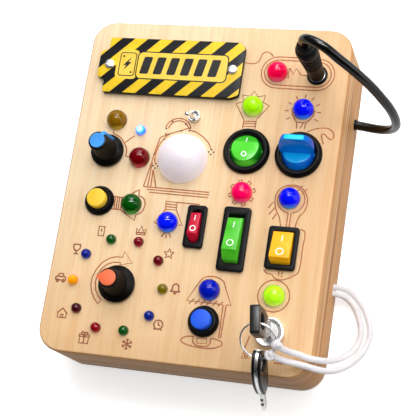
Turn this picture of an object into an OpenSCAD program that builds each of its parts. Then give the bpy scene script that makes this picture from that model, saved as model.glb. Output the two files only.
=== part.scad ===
/* [Board] */
// Width of the wooden board, left to right
board_w = 138; // [136:1:144]
// Length of the wooden board, bottom edge to plate edge
board_l = 175.5; // [174:0.5:182]
// Thickness of the front shell and back shell together
board_t = 40; // [40:1:44]
// Height of the seam between the two shells
seam_z = 18; // [17:0.5:19]
// Radius of the board's corners, seen from the front
corner_r = 12; // [11:0.5:14]

/* [Lamps] */
// Diameter of the large lamps
lamp_d = 10.5; // [9:0.5:10.5]
// Diameter of the small lamps
small_lamp_d = 5; // [4:0.5:5]
// Radius of the white dome's ball
dome_r = 12.9; // [11.5:0.1:13]
// Radius of the circle of small lamps
ring_r = 23.5; // [23:0.5:25]

/* [Controls] */
// Tilt of each rocker from level
rocker_tilt = 14; // [10:1:14]
// Tilt of the finned paddle from level
paddle_tilt = 13; // [10:1:14]
// Lean of the small toggle lever from upright
toggle_lean = 14; // [10:1:15]
// Travel of each push button
button_travel = 2; // [1:0.5:2.5]
// Pointer direction of the upper knob, from the right
knob_a_turn = 59; // [-11:1:79]
// Pointer direction of the lower knob, from the right
knob_b_turn = 180; // [0:36:324]

/* [Key] */
// Width of a key's head
key_head_w = 13.5; // [12:0.5:13.5]
// Length of a key's head
key_head_l = 25; // [24:0.5:27]
// Turn of the key in the lock, from upright
key_turn = 8; // [0:1:10]

/* [Hidden] */
$fn = 96;
eps = 0.01;

// Colours of the parts
wood = "#F6D6A8";
wood_back = "#E0BE93";
black = "#1C1C1E";
chrome = "#C9CCD0";
yellow = "#FFD23C";
white = "#F4F3F1";

// Shells: wall, front panel and pocket
wall = 8;
panel_t = 4;
floor_t = 4;
pocket_r = 6;
panel_z = board_t - panel_t;
post_r = 5.2;
post_x = board_w/2 - 11.5;
post_y = board_l/2 - 11.5;
pilot_r = 1.55;
clear_r = 1.75;
sink_r = 3.6;
sink_t = 8;

// Sides of the board where the two cords leave
side_x = board_w/2;
cable_y = 49.6;
cable_z = 9;
cable_r = 2.3;
string_r = 1.5;
string_ys = [-36, -39.1];
string_z = 9.2;

// Cover plate and battery compartment
plate_t = 3;
plate_outline = [
  [-57.9, 47.6], [10.7, 47.6], [15, 49.4], [15, 75.4], [12, 77.9], [-57.9, 77.9],
  [-57.9, 71.5], [-62.1, 69.8], [-62.1, 56.2], [-57.9, 54.6]
];
plate_screws_at = [[-56, 62.9], [10, 62.9]];
box_c = [-23, 62.75];
box_size = [55.6, 24, 17];
box_wall = 1.2;
box_flange = [40, 28.4, 1.2];
cell_r = 5.2;
cell_l = 43.3;
cell_gap = 10.8;
cell_shift = 3.2;
cell_spring_l = 7.5;

// Places of the lamps
lamps = [
  ["amber", [-47.5, 33.3], "#B5931C"], ["ruby", [-31.9, 14.1], "#8E1420"],
  ["coral", [32.6, 64], "#F0306A"], ["blue_top", [48.4, 44.9], "#1838F0"],
  ["lime_top", [22.7, 44.9], "#A8F020"], ["green", [-31.9, -10.5], "#3E7A1E"],
  ["blue_left", [-11.6, -18.2], "#1838F0"], ["pink", [23.65, -0.1], "#F0407E"],
  ["blue_right", [47.8, -1.1], "#1838F0"], ["blue_house", [15, -49.9], "#1838F0"],
  ["lime_low", [46.9, -49.7], "#A8F020"]
];
small_lit_at = [-33.8, 28.7];
ring_c = [-32, -51.8];
ring_step = 36;
ring_colours = ["#B07A10", "#8E1420", "#D02030", "#2E9A40", "#1838F0"];
dome_at = [-9.3, 15.1];
dome_neck_r = 9.94;
lamp_straight = 0.8;
lamp_flange = 0.5;

// Places of the controls: centre, bezel, opening
red_c = [3.1, -19.45];
red_bezel = [10, 21.6];
red_open = [5.2, 16.6];
green_c = [23.4, -24];
green_bezel = [13.6, 32.2];
green_open = [7.6, 24.2];
yellow_c = [47.7, -26.4];
yellow_bezel = [15, 21.3];
yellow_open = [10.1, 16.1];
round_c = [22.9, 21.2];
paddle_c = [49.2, 21.2];
round_bezel_r = 11.8;
round_lip_r = 10.6;
round_bezel_t = 3;
round_side_t = 1.2;
round_body_r = 9.95;
round_open_r = 8.3;
ledge_r = 9.3;
ledge_z = 1.6;
round_ball_r = 8.05;
round_cut_z = 3.4;
rocker_corner_r = 0.6;
bezel_t = 2;
pivot_z = board_t + 0.2;
well_z = 32;
switch_z = 20;
pin_r = 1.2;
pin_hole_r = 1.26;
pin_reach = 0.9;
fit = 0.1;

// Push buttons: cap on a stem, with a coil spring under it
yellow_button_c = [-49, -10.1];
blue_button_c = [14.5, -65.5];
button_bezel_r = 7.65;
button_bezel_t = 3;
button_side_t = 1.2;
button_body_r = 5.94;
button_r = 4.85;
button_bore_r = 4.91;
button_top = 6.7;
button_edge = 0.4;
button_mouth_r = 6.4;
floor_hi = 26;
floor_lo = 24;
stem_r = 1.9;
foot_r = 3;
spring_r = 3.6;
spring_wire = 0.45;
spring_turns = 5;
cap_under = board_t - 2;

// Knobs
upper_c = [-49.4, 16.3];
lower_c = [-32, -51.8];
knob_gap = 0.8;
shaft_r = 3;
bushing_r = 3.5;

// Toggle
toggle_c = [-6.7, 37.8];
toggle_bore_r = 2.3;
toggle_ball_r = 2;
toggle_pin_reach = 2.2;

// Lock and keys
lock_c = [47.4, -67.5];
barrel_r = 4.8;
key_t = 4.5;
blade_t = 1.6;
blade_w = 5.2;
blade_l = 12.5;
bow_hole_r = 4.1;
bow_hole_z = 18.1;
key_z = 49;
ring_wire_r = 0.7;
split_ring_r = 8.5;
ring_lean = 32;
ring_top = [lock_c.x, lock_c.y - 0.3, 65.3];
ring_down = [0, -cos(ring_lean), -sin(ring_lean)];
ring_mid = ring_top + split_ring_r*ring_down;
ring_low = ring_mid + split_ring_r*ring_down;
spare_lean = 36;
spare_wire_z = 21.15;
knot_r = 2.8;
knot_turns = [-8, -50];
string_ref = [0.6, 0.4, 0.7];
stopper_r = 1.55;
stopper_x = 57.6;

// Jack and plug
jack_c = [53, 63.35];
jack_ring_r = 4.15;
plug_tail_z = 78;

// Power cable's route, round numbers in millimetres
cable_route = [
  [54, 49.6, 9], [61, 49.6, 9], [69, 49.6, 9], [74.5, 48.8, 9.1], [79.8, 47.8, 10],
  [84.8, 46.6, 12.6], [89, 45.4, 17.4], [92, 44.4, 24], [93.3, 44, 32], [93, 44.4, 41],
  [91.4, 45.4, 49], [88.5, 46.9, 57], [84.8, 48.8, 65], [80.6, 50.6, 72], [75.8, 52.6, 78.6],
  [71, 54.6, 84.2], [66.5, 56.8, 88.7], [62, 59, 90], [57.5, 61.2, 88.7], [54.2, 62.8, 85],
  [53, 63.35, 80.6], [53, 63.35, 78]
];
// Strings' routes, from inside the board to the inside of the knots on the ring
inner_route = [
  [59, -39.1, 9.2], [66, -39.1, 9.2], [70, -39.2, 8.6], [73, -39.3, 6.2], [76, -40.3, 3.2],
  [79.7, -44.2, 1.7], [82.4, -49.5, 1.6], [83.9, -55, 1.6], [83.7, -60.5, 2.2],
  [82, -65.5, 5], [79.6, -69.8, 11], [77, -73.4, 20], [74.4, -76.2, 31], [71, -77.6, 40],
  [67, -77.6, 43], [63, -76.8, 45.5], [60, -76.9, 49.1], [58, -76.7, 53.4], [56.3, -76.2, 58.2]
];
outer_route = [
  [59, -36, 9.2], [66, -36, 9.2], [70, -35.9, 8.6], [73.5, -35.8, 6.2], [77.4, -37, 3.2],
  [82.3, -41.2, 1.7], [86, -47.3, 1.6], [88.3, -54, 1.6], [88.1, -60.7, 2.2],
  [85.8, -67.3, 5], [82.4, -73.2, 11], [78.9, -77.8, 20], [75.6, -80.9, 31], [71.6, -82, 40],
  [67, -81.6, 43.2], [62, -81.2, 45.8], [58.4, -81.1, 48.7], [55.9, -80.9, 52.2], [53.5, -80.6, 55.9]
];

// Unit vector
function unit(v) = v/norm(v);
// Ring of points round a route point, square to the route
function ring_at(p, t, r, sides, side_ref) =
  let (u = unit(cross(side_ref, t)), v = cross(t, u))
  [for (k = [0:sides - 1]) p + r*(cos(360*k/sides)*u + sin(360*k/sides)*v)];

// Tube swept along a route
module tube(route, r, sides, side_ref) {
  n = len(route);
  tangents = [for (i = [0:n - 1]) unit(route[min(i + 1, n - 1)] - route[max(i - 1, 0)])];
  points = [for (i = [0:n - 1]) each ring_at(route[i], tangents[i], r, sides, side_ref)];
  walls = [for (i = [0:n - 2], k = [0:sides - 1], half = [0, 1])
    let (a = i*sides + k, b = i*sides + (k + 1) % sides)
    half == 0 ? [a, b, b + sides] : [a, b + sides, a + sides]];
  caps = [
    [for (k = [sides - 1:-1:0]) k],
    [for (k = [0:sides - 1]) (n - 1)*sides + k]
  ];
  polyhedron(points, concat(walls, caps));
}

// Flat plate with round corners, standing on its own plane
module round_plate(size, t, r) {
  linear_extrude(t) round_rect(size, r);
}

module round_rect(size, r) {
  if (2*r < size.x) square([size.x - 2*r, size.y], center = true);
  square([size.x, size.y - 2*r], center = true);
  for (sx = [-1, 1], sy = [-1, 1]) {
    translate([sx*(size.x/2 - r), sy*(size.y/2 - r)]) circle(r);
  }
}

// Upright cylinder at a point of the front, between two heights
module drum(at, r, z0, z1) {
  translate([at.x, at.y, z0]) cylinder(h = z1 - z0, r = r);
}

// Upright box at a point of the front, between two heights
module slab(at, size, z0, z1) {
  translate([at.x - size.x/2, at.y - size.y/2, z0]) cube([size.x, size.y, z1 - z0]);
}

module posts(r, z0, z1) {
  for (sx = [-1, 1], sy = [-1, 1]) drum([sx*post_x, sy*post_y], r, z0, z1);
}

module screw(at, head_r, head_t, shank_r, z_head, length) {
  // the head's underside lies at z_head and the shank goes down
  difference() {
    union() {
      drum(at, head_r, z_head, z_head + head_t);
      drum(at, shank_r, z_head - length, z_head + eps);
    }
    slab(at, [head_r*1.1, head_r*0.22], z_head + head_t*0.4, z_head + head_t + 1);
    slab(at, [head_r*0.22, head_r*1.1], z_head + head_t*0.4, z_head + head_t + 1);
  }
}

// ---- Wooden shells ----
module front_case() {
  color(wood) difference() {
    union() {
      difference() {
        translate([0, 0, seam_z]) round_plate([board_w, board_l], board_t - seam_z, corner_r);
        translate([0, 0, seam_z - 1])
          round_plate([board_w - 2*wall, board_l - 2*wall], panel_z - seam_z + 1, pocket_r);
      }
      posts(post_r, seam_z, panel_z + eps);
      for (p = plate_screws_at) drum(p, 4, panel_z - 6, panel_z + eps);
    }
    posts(pilot_r, seam_z - 1, panel_z - 2);
    for (p = plate_screws_at) drum(p, 1.45, panel_z - 7, board_t + 1);
    slab(box_c, [box_size.x + 0.4, box_size.y + 0.4], panel_z - 1, board_t + 1);
    slab(box_c, [box_flange.x + 0.4, box_flange.y + 0.4], board_t - box_flange.z, board_t + 1);
    for (l = lamps) drum(l[1], lamp_d/2 + 0.06, panel_z - 1, board_t + 1);
    for (p = small_places()) drum(p, small_lamp_d/2 + 0.06, panel_z - 1, board_t + 1);
    drum(dome_at, dome_neck_r + 0.06, panel_z - 1, board_t + 1);
    for (p = [round_c, paddle_c]) drum(p, round_body_r + 0.05, panel_z - 1, board_t + 1);
    for (p = [yellow_button_c, blue_button_c, lock_c]) {
      drum(p, button_body_r + 0.06, panel_z - 1, board_t + 1);
    }
    for (p = [upper_c, lower_c]) drum(p, bushing_r + fit, panel_z - 1, board_t + 1);
    drum(toggle_c, 3.25, panel_z - 1, board_t + 1);
    drum(jack_c, 4.05, panel_z - 1, board_t + 1);
    for (s = [[red_c, red_open], [green_c, green_open], [yellow_c, yellow_open]]) {
      slab(s[0], s[1] + [3.2, 3.2], panel_z - 1, board_t + 1);
    }
  }
}

module back_case() {
  color(wood_back) difference() {
    union() {
      difference() {
        round_plate([board_w, board_l], seam_z, corner_r);
        translate([0, 0, floor_t])
          round_plate([board_w - 2*wall, board_l - 2*wall], seam_z, pocket_r);
      }
      posts(post_r, floor_t - eps, seam_z);
    }
    posts(clear_r, -1, seam_z + 1);
    posts(sink_r, -1, sink_t);
    translate([side_x - wall - 1, cable_y, cable_z]) rotate([0, 90, 0]) cylinder(h = wall + 2, r = 2.76);
    for (y = string_ys) {
      translate([side_x - wall - 1, y, string_z]) rotate([0, 90, 0]) cylinder(h = wall + 2, r = 1.75);
    }
  }
}

module case_screws() {
  color(chrome) for (sx = [-1, 1], sy = [-1, 1]) {
    mirror([0, 0, 1]) screw([sx*post_x, sy*post_y], 3, 2.4, 1.5, -sink_t, 22);
  }
}

// ---- Cover plate and battery compartment ----
module cover_plate() {
  color("#FCD128") difference() {
    translate([0, 0, board_t]) linear_extrude(plate_t) polygon(plate_outline);
    for (p = plate_screws_at) drum(p, 1.7, board_t - 1, board_t + plate_t + 1);
  }
}

module plate_screws() {
  color(chrome) for (p = plate_screws_at) screw(p, 2.5, 1.3, 1.4, board_t + plate_t, 12);
}

module battery_box() {
  inner = [box_size.x - 2*box_wall, box_size.y - 2*box_wall];
  color(black) difference() {
    union() {
      slab(box_c, box_size, board_t - box_size.z, board_t);
      slab(box_c, box_flange, board_t - box_flange.z, board_t);
    }
    slab(box_c, inner, board_t - box_size.z + box_wall, board_t + 1);
  }
}

module battery_cells() {
  cell_z = board_t - box_size.z + box_wall + cell_r + 0.2;
  for (side = [-1, 1]) {
    color("#3B6E3A") translate([box_c.x + side*cell_shift, box_c.y + side*cell_gap/2, cell_z])
      rotate([0, side*90, 0]) translate([0, 0, -cell_l/2]) {
        cylinder(h = cell_l, r = cell_r);
        translate([0, 0, cell_l - eps]) cylinder(h = 1.2, r = 1.9);
      }
  }
}

module battery_contacts() {
  // a plate at each cell's button end and a plate with a cone spring at its flat end
  cell_z = board_t - box_size.z + box_wall + cell_r + 0.2;
  end_x = box_size.x/2 - box_wall;
  color(chrome) for (side = [-1, 1]) translate([box_c.x, box_c.y + side*cell_gap/2, cell_z]) {
    translate([side*(end_x - 0.25) - 0.25, -4, -4]) cube([0.5, 8, 8]);
    translate([-side*(end_x - 0.25) - 0.25, -4, -4]) cube([0.5, 8, 8]);
    translate([-side*(end_x - 0.4), 0, 0]) rotate([0, side*90, 0])
      cylinder(h = cell_spring_l, r1 = 3.6, r2 = 2.2, $fn = 48);
  }
}

module circuit_board() {
  board_c = [0, -14];
  color("#1E7A3C") difference() {
    slab(board_c, [60, 40], 8, 9.6);
    for (sx = [-1, 1], sy = [-1, 1]) drum(board_c + [sx*26, sy*16], 1.6, 7, 11);
  }
  color(black) slab(board_c + [-12, 4], [9, 6], 9.6 - eps, 11.2);
  color(white) for (k = [0:4]) slab(board_c + [-20 + 10*k, -14], [6, 4], 9.6 - eps, 12.4);
  color(wood_back) for (sx = [-1, 1], sy = [-1, 1]) difference() {
    drum(board_c + [sx*26, sy*16], 3, floor_t, 8);
    drum(board_c + [sx*26, sy*16], 1.3, floor_t + 1, 9);
  }
}

// ---- Lamps ----
function small_places() = concat(
  [small_lit_at],
  [for (k = [0:9]) ring_c + ring_r*[cos(ring_step*k), sin(ring_step*k)]]
);

module lamp(at, d) {
  r = d/2;
  translate([at.x, at.y, panel_z - lamp_flange]) rotate_extrude() {
    square([r + 0.5, lamp_flange]);
    square([r, lamp_flange + panel_t + lamp_straight]);
    translate([0, lamp_flange + panel_t + lamp_straight]) intersection() {
      circle(r);
      square(r + 1);
    }
  }
}

module big_lamp(k) {
  color(lamps[k][2]) lamp(lamps[k][1], lamp_d);
}

module small_lamps() {
  places = small_places();
  for (k = [0:len(places) - 1]) {
    color(k == 0 ? "#20C8FF" : ring_colours[(k - 1) % 5]) lamp(places[k], small_lamp_d);
  }
}

module dome_lens() {
  ball_z = board_t - 0.8;
  color(white) translate([dome_at.x, dome_at.y, 0]) rotate_extrude() {
    translate([0, panel_z - 2]) square([dome_neck_r, panel_t + 2.5]);
    intersection() {
      translate([0, ball_z]) circle(dome_r);
      translate([0, board_t]) square(dome_r + 1);
    }
  }
}

module lamp_legs() {
  leg_top = panel_z - lamp_flange;
  color(chrome) {
    for (l = lamps) legs(l[1], leg_top);
    for (p = small_places()) legs(p, leg_top);
    legs(dome_at, panel_z - 2);
  }
}

module legs(at, top) {
  for (side = [-1, 1]) slab([at.x + side*1.27, at.y], [0.5, 0.5], top - 6, top);
}

// ---- Rocker switches ----
module rocker_housing(at, bezel, open, end_r) {
  difference() {
    union() {
      translate([at.x, at.y, board_t]) round_plate(bezel, bezel_t*0.6, 1.6);
      translate([at.x, at.y, board_t]) round_plate(bezel - [1, 1], bezel_t, 1.4);
      slab(at, open + [3, 3], switch_z, board_t + eps);
    }
    translate([at.x, at.y, well_z]) round_plate(open, board_t + bezel_t + 1 - well_z, end_r);
    pin(at, open.x/2 + pin_reach + 0.1, pin_hole_r);
  }
  for (side = [-1, 1]) slab([at.x, at.y + side*open.y/4], [3, 0.8], switch_z - 6, switch_z + eps);
}

module pin(at, reach, r) {
  translate([at.x - reach, at.y, pivot_z]) rotate([0, 90, 0]) cylinder(h = 2*reach, r = r);
}

// Rocker: flat top of half length top_y, sloping to its feet, with round corners from the front
module rocker(at, width, top_y, top_z, foot_y, foot_z, depth, end_r) {
  translate([at.x, at.y, pivot_z]) rotate([-rocker_tilt, 0, 0]) intersection() {
    translate([0, 0, -depth - 1]) round_plate([width, 2*foot_y], depth + top_z + 2, end_r);
    rotate([90, 0, 90]) translate([0, 0, -width/2]) linear_extrude(width) {
      polygon([
        [-foot_y, 0], [-foot_y, foot_z], [-top_y, top_z], [top_y, top_z], [foot_y, foot_z], [foot_y, 0]
      ]);
      intersection() {
        circle(foot_y);
        translate([-foot_y, -depth]) square([2*foot_y, depth + eps]);
      }
    }
  }
  pin(at, width/2 + 0.2 + pin_reach, pin_r);
}

module red_housing() {
  color(black) rocker_housing(red_c, red_bezel, red_open, red_open.x/2);
}

module red_rocker() {
  color("#C8203C") rocker(red_c, red_open.x - 0.4, 5.6, 4.3, 7.9, 0.8, 2, red_open.x/2 - 0.2);
}

module green_housing() {
  color(black) rocker_housing(green_c, green_bezel, green_open, rocker_corner_r);
}

module green_rocker() {
  color("#3CB83C") rocker(green_c, green_open.x - 0.4, 8.5, 6, 11.7, 1, 3, rocker_corner_r);
}

module yellow_housing() {
  color(black) rocker_housing(yellow_c, yellow_bezel, yellow_open, rocker_corner_r);
}

module yellow_rocker() {
  color("#F6A818") rocker(yellow_c, yellow_open.x - 0.4, 6.8, 4.4, 7.65, 1, 3, rocker_corner_r);
}

module switch_ring(at) {
  // round bezel and barrel with a well for the rocking piece
  difference() {
    union() {
      drum(at, round_bezel_r, board_t, board_t + round_side_t);
      translate([at.x, at.y, board_t + round_side_t - eps])
        cylinder(h = round_bezel_t - round_side_t + eps, r1 = round_bezel_r, r2 = round_lip_r);
      drum(at, round_body_r, switch_z, board_t + eps);
    }
    drum(at, round_open_r, well_z, board_t + round_bezel_t + 1);
    drum(at, ledge_r, board_t + ledge_z, board_t + round_bezel_t + 1);
    pin(at, round_open_r + pin_reach + 0.1, pin_hole_r);
  }
  for (side = [-1, 1]) slab([at.x, at.y + side*4], [4.8, 0.8], switch_z - 6, switch_z + eps);
}

module round_housing() {
  color(black) switch_ring(round_c);
}

module round_rocker() {
  color("#30B838") {
    translate([round_c.x, round_c.y, pivot_z]) rotate([-rocker_tilt, 0, 0]) intersection() {
      sphere(round_ball_r);
      rotate([90, 0, 90]) translate([0, 0, -9]) linear_extrude(18)
        polygon([
          [-9, -round_cut_z], [-9, 3], [-6.9, 3.3], [-3, 4.3],
          [3, 4.3], [6.9, 3.3], [9, 3], [9, -round_cut_z]
        ]);
    }
    pin(round_c, round_open_r + pin_reach, pin_r);
  }
}

module paddle_housing() {
  color(black) switch_ring(paddle_c);
}

module paddle() {
  disc_top = 4;
  color("#0A80C8") {
    translate([paddle_c.x, paddle_c.y, pivot_z]) rotate([-paddle_tilt, 0, 0]) {
      intersection() {
        sphere(round_ball_r);
        translate([-9, -9, -round_cut_z]) cube([18, 18, round_cut_z + disc_top]);
      }
      // fin: a slice of a bulging round body, its back sloping up to the front
      intersection() {
        rotate_extrude() polygon([
          [0, 2.4], [7.68, 2.4], [7.9, 3.2], [8.3, disc_top], [8.6, 6], [8.5, 9], [7.9, 12],
          [6.7, 14.5], [5.6, 15.6], [4.9, 16], [0, 16]
        ]);
        rotate([90, 0, 90]) translate([0, 0, -9]) linear_extrude(18)
          polygon([[-1.3, 2.2], [-1.2, 17], [1.6, 17], [3.2, disc_top], [3.2, 2.2]]);
      }
    }
    pin(paddle_c, round_open_r + pin_reach, pin_r);
  }
}

// ---- Push buttons ----
module button_housing(at) {
  difference() {
    union() {
      drum(at, button_bezel_r, board_t, board_t + button_side_t);
      translate([at.x, at.y, board_t + button_side_t - eps])
        cylinder(h = button_bezel_t - button_side_t + eps, r1 = button_bezel_r, r2 = button_mouth_r);
      drum(at, button_body_r, 19, board_t + eps);
    }
    drum(at, button_bore_r, floor_hi, board_t + button_bezel_t + 1);
    drum(at, stem_r + 0.06, floor_lo - 1, floor_hi + 1);
    drum(at, 4.5, 20, floor_lo);
  }
}

module button_cap(at) {
  translate([at.x, at.y, 0]) rotate_extrude() {
    translate([0, cap_under]) square([button_r, board_t + button_top - button_edge - cap_under]);
    translate([0, board_t + button_top - button_edge - eps])
      square([button_r - button_edge, button_edge + eps]);
    translate([0, 22]) square([stem_r, cap_under - 22 + eps]);
    translate([0, 22]) square([foot_r, 1.9]);
  }
}

module button_spring(at) {
  rings = spring_turns*10;
  low = floor_hi + spring_wire + 0.1;
  rise = cap_under - floor_hi - 2*spring_wire - 0.2;
  helix = [for (k = [0:rings])
    [at.x + spring_r*cos(36*k), at.y + spring_r*sin(36*k), low + rise*k/rings]];
  tube(helix, spring_wire, 6, [0, 0, 1]);
}

module yellow_button_housing() {
  color(black) button_housing(yellow_button_c);
}

module yellow_button() {
  color(yellow) button_cap(yellow_button_c);
}

module yellow_button_spring() {
  color(chrome) button_spring(yellow_button_c);
}

module blue_button_housing() {
  color(black) button_housing(blue_button_c);
}

module blue_button() {
  color("#2D6BF0") button_cap(blue_button_c);
}

module blue_button_spring() {
  color(chrome) button_spring(blue_button_c);
}

// ---- Rotary switches and knobs ----
module rotary_switch(at) {
  difference() {
    union() {
      drum(at, 8, switch_z, panel_z);
      drum(at, bushing_r, panel_z - eps, board_t + 2.4);
      translate([at.x, at.y, board_t]) cylinder(h = 2, d = 11.5, $fn = 6);
    }
    drum(at, shaft_r + 0.06, switch_z + 4, board_t + 4);
  }
  for (k = [0:5]) slab(at + 6*[cos(60*k), sin(60*k)], [1, 1], switch_z - 4, switch_z + eps);
}

module upper_switch() {
  color(chrome) rotary_switch(upper_c);
}

module lower_switch() {
  color(chrome) rotary_switch(lower_c);
}

// Knob's outline from its skirt up, with the hollow over the nut
module knob_solid(at, outline) {
  translate([at.x, at.y, board_t]) rotate_extrude() difference() {
    polygon(outline);
    translate([-1, knob_gap - 1]) square([1 + 6.2, 3.2]);
  }
  drum(at, shaft_r, switch_z + 5, board_t + 4);
}

module upper_knob() {
  color(black) difference() {
    knob_solid(upper_c, [
      [0, knob_gap], [8.6, knob_gap], [8.6, 2.2], [5.9, 4], [5.6, 5], [4.9, 15.8], [4.6, 17], [0, 17]
    ]);
    upper_pointer(0.02);
  }
}

// Bar and disc let into the upper knob's top
module upper_pointer(extra) {
  translate([upper_c.x, upper_c.y, board_t]) rotate([0, 0, knob_a_turn]) {
    translate([0, 0, 16.2]) cylinder(h = 1.4 + extra, r = 3.85);
    rotate([90, 0, 0]) translate([0, 0, -1.1]) linear_extrude(2.2)
      polygon([
        [2, 16.2], [2, 17.6 + extra], [4.6, 17.4 + extra], [6 + extra, 15.7],
        [6.9 + extra, 5.5], [5.2, 5.5], [4.5, 14.4], [3.2, 16.2]
      ]);
  }
}

module upper_knob_cap() {
  color("#3FA0F0") upper_pointer(0);
}

module lower_knob() {
  color(black) difference() {
    knob_solid(lower_c, [
      [0, knob_gap], [9.3, knob_gap], [9.3, 2.2], [6.3, 4], [6, 5], [5, 14], [4.7, 14.7], [0, 14.7]
    ]);
    lower_pointer(0.02);
  }
}

// Drop-shaped plate let into the lower knob's top
module lower_pointer(extra) {
  tip = 5.9;
  drop_r = 4;
  touch = acos(drop_r/tip);
  translate([lower_c.x, lower_c.y, board_t + 13.9]) rotate([0, 0, knob_b_turn])
    linear_extrude(1.5 + extra) {
      circle(drop_r);
      polygon([[tip, 0], drop_r*[cos(touch), sin(touch)], [0, 0], drop_r*[cos(touch), -sin(touch)]]);
    }
}

module lower_knob_cap() {
  color("#FF7043") lower_pointer(0);
}

// ---- Toggle ----
module toggle_body() {
  color(chrome) difference() {
    union() {
      slab(toggle_c, [8, 13], 25, panel_z);
      drum(toggle_c, 3.15, panel_z - eps, board_t + 1.8);
    }
    drum(toggle_c, toggle_bore_r, panel_z - 3, board_t + 3);
  }
  color(chrome) for (side = [-1, 0, 1]) {
    slab([toggle_c.x, toggle_c.y + side*4.6], [0.8, 1.4], 21, 25 + eps);
  }
}

module toggle_lever() {
  lever_l = 13;
  color(chrome) translate([toggle_c.x, toggle_c.y, board_t]) rotate([toggle_lean, 0, 0]) {
    sphere(toggle_ball_r);
    rotate([0, 90, 0]) cylinder(h = 2*toggle_pin_reach, r = 0.6, center = true);
    cylinder(h = lever_l, r1 = 0.95, r2 = 1.2);
    translate([0, 0, lever_l]) sphere(1.35);
  }
}

// ---- Nuts behind the panel ----
module nut(at, across, t, bore_r) {
  difference() {
    translate([at.x, at.y, panel_z - t]) cylinder(h = t, d = across/cos(30), $fn = 6);
    drum(at, bore_r, panel_z - t - 1, panel_z + 1);
  }
}

module panel_nuts() {
  color(chrome) {
    for (p = [yellow_button_c, blue_button_c, lock_c]) nut(p, 14, 2.5, button_body_r + 0.06);
    nut(jack_c, 11, 2, 4.05);
  }
}

// ---- Lock and keys ----
module lock_body() {
  color(chrome) difference() {
    union() {
      drum(lock_c, 7.3, board_t, board_t + 2.6);
      translate([lock_c.x, lock_c.y, board_t + 2.6 - eps]) cylinder(h = 0.4 + eps, r1 = 7.3, r2 = 6.9);
      drum(lock_c, button_body_r, 21, board_t + eps);
    }
    drum(lock_c, 6, board_t + 2.2, board_t + 4);
    drum(lock_c, barrel_r + 0.06, 22, board_t + 4);
  }
}

module lock_barrel() {
  color("#7A7C80") difference() {
    drum(lock_c, barrel_r, 22.2, board_t + 2.6);
    translate([lock_c.x, lock_c.y, key_z - blade_l - 0.4]) rotate([0, 0, key_turn])
      translate([-blade_t/2 - 0.1, -blade_w/2 - 0.2, 0]) cube([blade_t + 0.2, blade_w + 0.4, 20]);
  }
}

// Half outlines of the keys' heads: widths and heights as shares of half width and length
leaf_head = [
  [0.385, 0], [0.68, 0.16], [0.89, 0.32], [0.99, 0.48], [1, 0.56],
  [0.98, 0.66], [0.86, 0.78], [0.62, 0.89], [0.3, 0.96], [0.12, 1]
];
shield_head = [
  [0.385, 0], [0.62, 0.13], [0.82, 0.28], [0.94, 0.44], [0.99, 0.6],
  [1, 0.75], [1, 0.93], [0.95, 0.975], [0.86, 1]
];

// Key standing on its blade, the head's foot at zero, flat across X
module key_shape(head_shape) {
  last = len(head_shape) - 1;
  w = key_head_w/2;
  rotate([90, 0, 90]) difference() {
    union() {
      translate([0, 0, -key_t/2]) linear_extrude(key_t) polygon([
        for (p = head_shape) [w*p.x, key_head_l*p.y],
        for (k = [last:-1:0]) [-w*head_shape[k].x, key_head_l*head_shape[k].y]
      ]);
      translate([0, 0, -blade_t/2]) linear_extrude(blade_t)
        polygon([
          [-2.6, 1], [-2.6, -2], [-1.9, -3], [-1.9, -3.8], [-2.5, -4.7], [-1.7, -6], [-1.7, -6.8],
          [-2.4, -7.8], [-1.5, -9.2], [-1.5, -10], [-1, -12.5], [1, -12.5], [2.6, -10.4], [2.6, 1]
        ]);
    }
    translate([0, bow_hole_z, -key_t]) cylinder(h = 2*key_t, r = bow_hole_r);
  }
}

module lock_key() {
  color(black) translate([lock_c.x, lock_c.y, key_z]) rotate([0, 0, key_turn])
    key_shape(shield_head);
}

module key_ring() {
  color(chrome) translate(ring_mid) rotate([ring_lean, 0, 0])
    rotate_extrude() translate([split_ring_r, 0]) circle(ring_wire_r, $fn = 48);
}

module spare_key() {
  // hangs upside down from the ring and leans on the board's lower edge
  color(black) translate(ring_low) rotate([-spare_lean, 0, 0]) translate([0, 0, -spare_wire_z])
    key_shape(leaf_head);
}

// ---- Jack, plug and power cable ----
module jack() {
  color(black) difference() {
    union() {
      drum(jack_c, 5.2, board_t, board_t + 1);
      drum(jack_c, jack_ring_r, board_t, board_t + 1.5);
      drum(jack_c, 4, 24, board_t + eps);
    }
    drum(jack_c, 2.8, 26, board_t + 3);
  }
  color(chrome) drum(jack_c, 0.9, 24, 36);
}

module plug() {
  color(black) translate([jack_c.x, jack_c.y, board_t]) rotate_extrude() difference() {
    polygon([
      [0, -10], [2.74, -10], [2.74, 1.55], [4, 1.55], [4.2, 6], [4.6, 16], [5.3, 27], [5.5, 31],
      [5, 33.5], [4.2, 34.5], [4.2, 36], [3.4, plug_tail_z - board_t], [0, plug_tail_z - board_t]
    ]);
    translate([-1, -11]) square([1 + 1.1, 10]);
  }
}

module cable() {
  color(black) tube(cable_route, cable_r, 10, [0, 1, 0]);
}

module cable_collar() {
  color(black) translate([side_x - wall, cable_y, cable_z]) rotate([0, 90, 0]) difference() {
    cylinder(h = wall + 1, r = 2.72);
    translate([0, 0, -1]) cylinder(h = wall + 3, r = cable_r + 0.02);
  }
}

// ---- Strings and knots ----
module string_inner() {
  color(white) tube(inner_route, string_r, 8, string_ref);
}

module string_outer() {
  color(white) tube(outer_route, string_r, 8, string_ref);
}

module string_knots() {
  color(white) {
    for (turn = knot_turns)
      translate(ring_mid + split_ring_r*([cos(turn), 0, 0] - sin(turn)*ring_down)) sphere(knot_r);
    for (y = string_ys) translate([stopper_x, y + (y > -38 ? 0.1 : -0.1), string_z]) sphere(stopper_r);
  }
}

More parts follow.
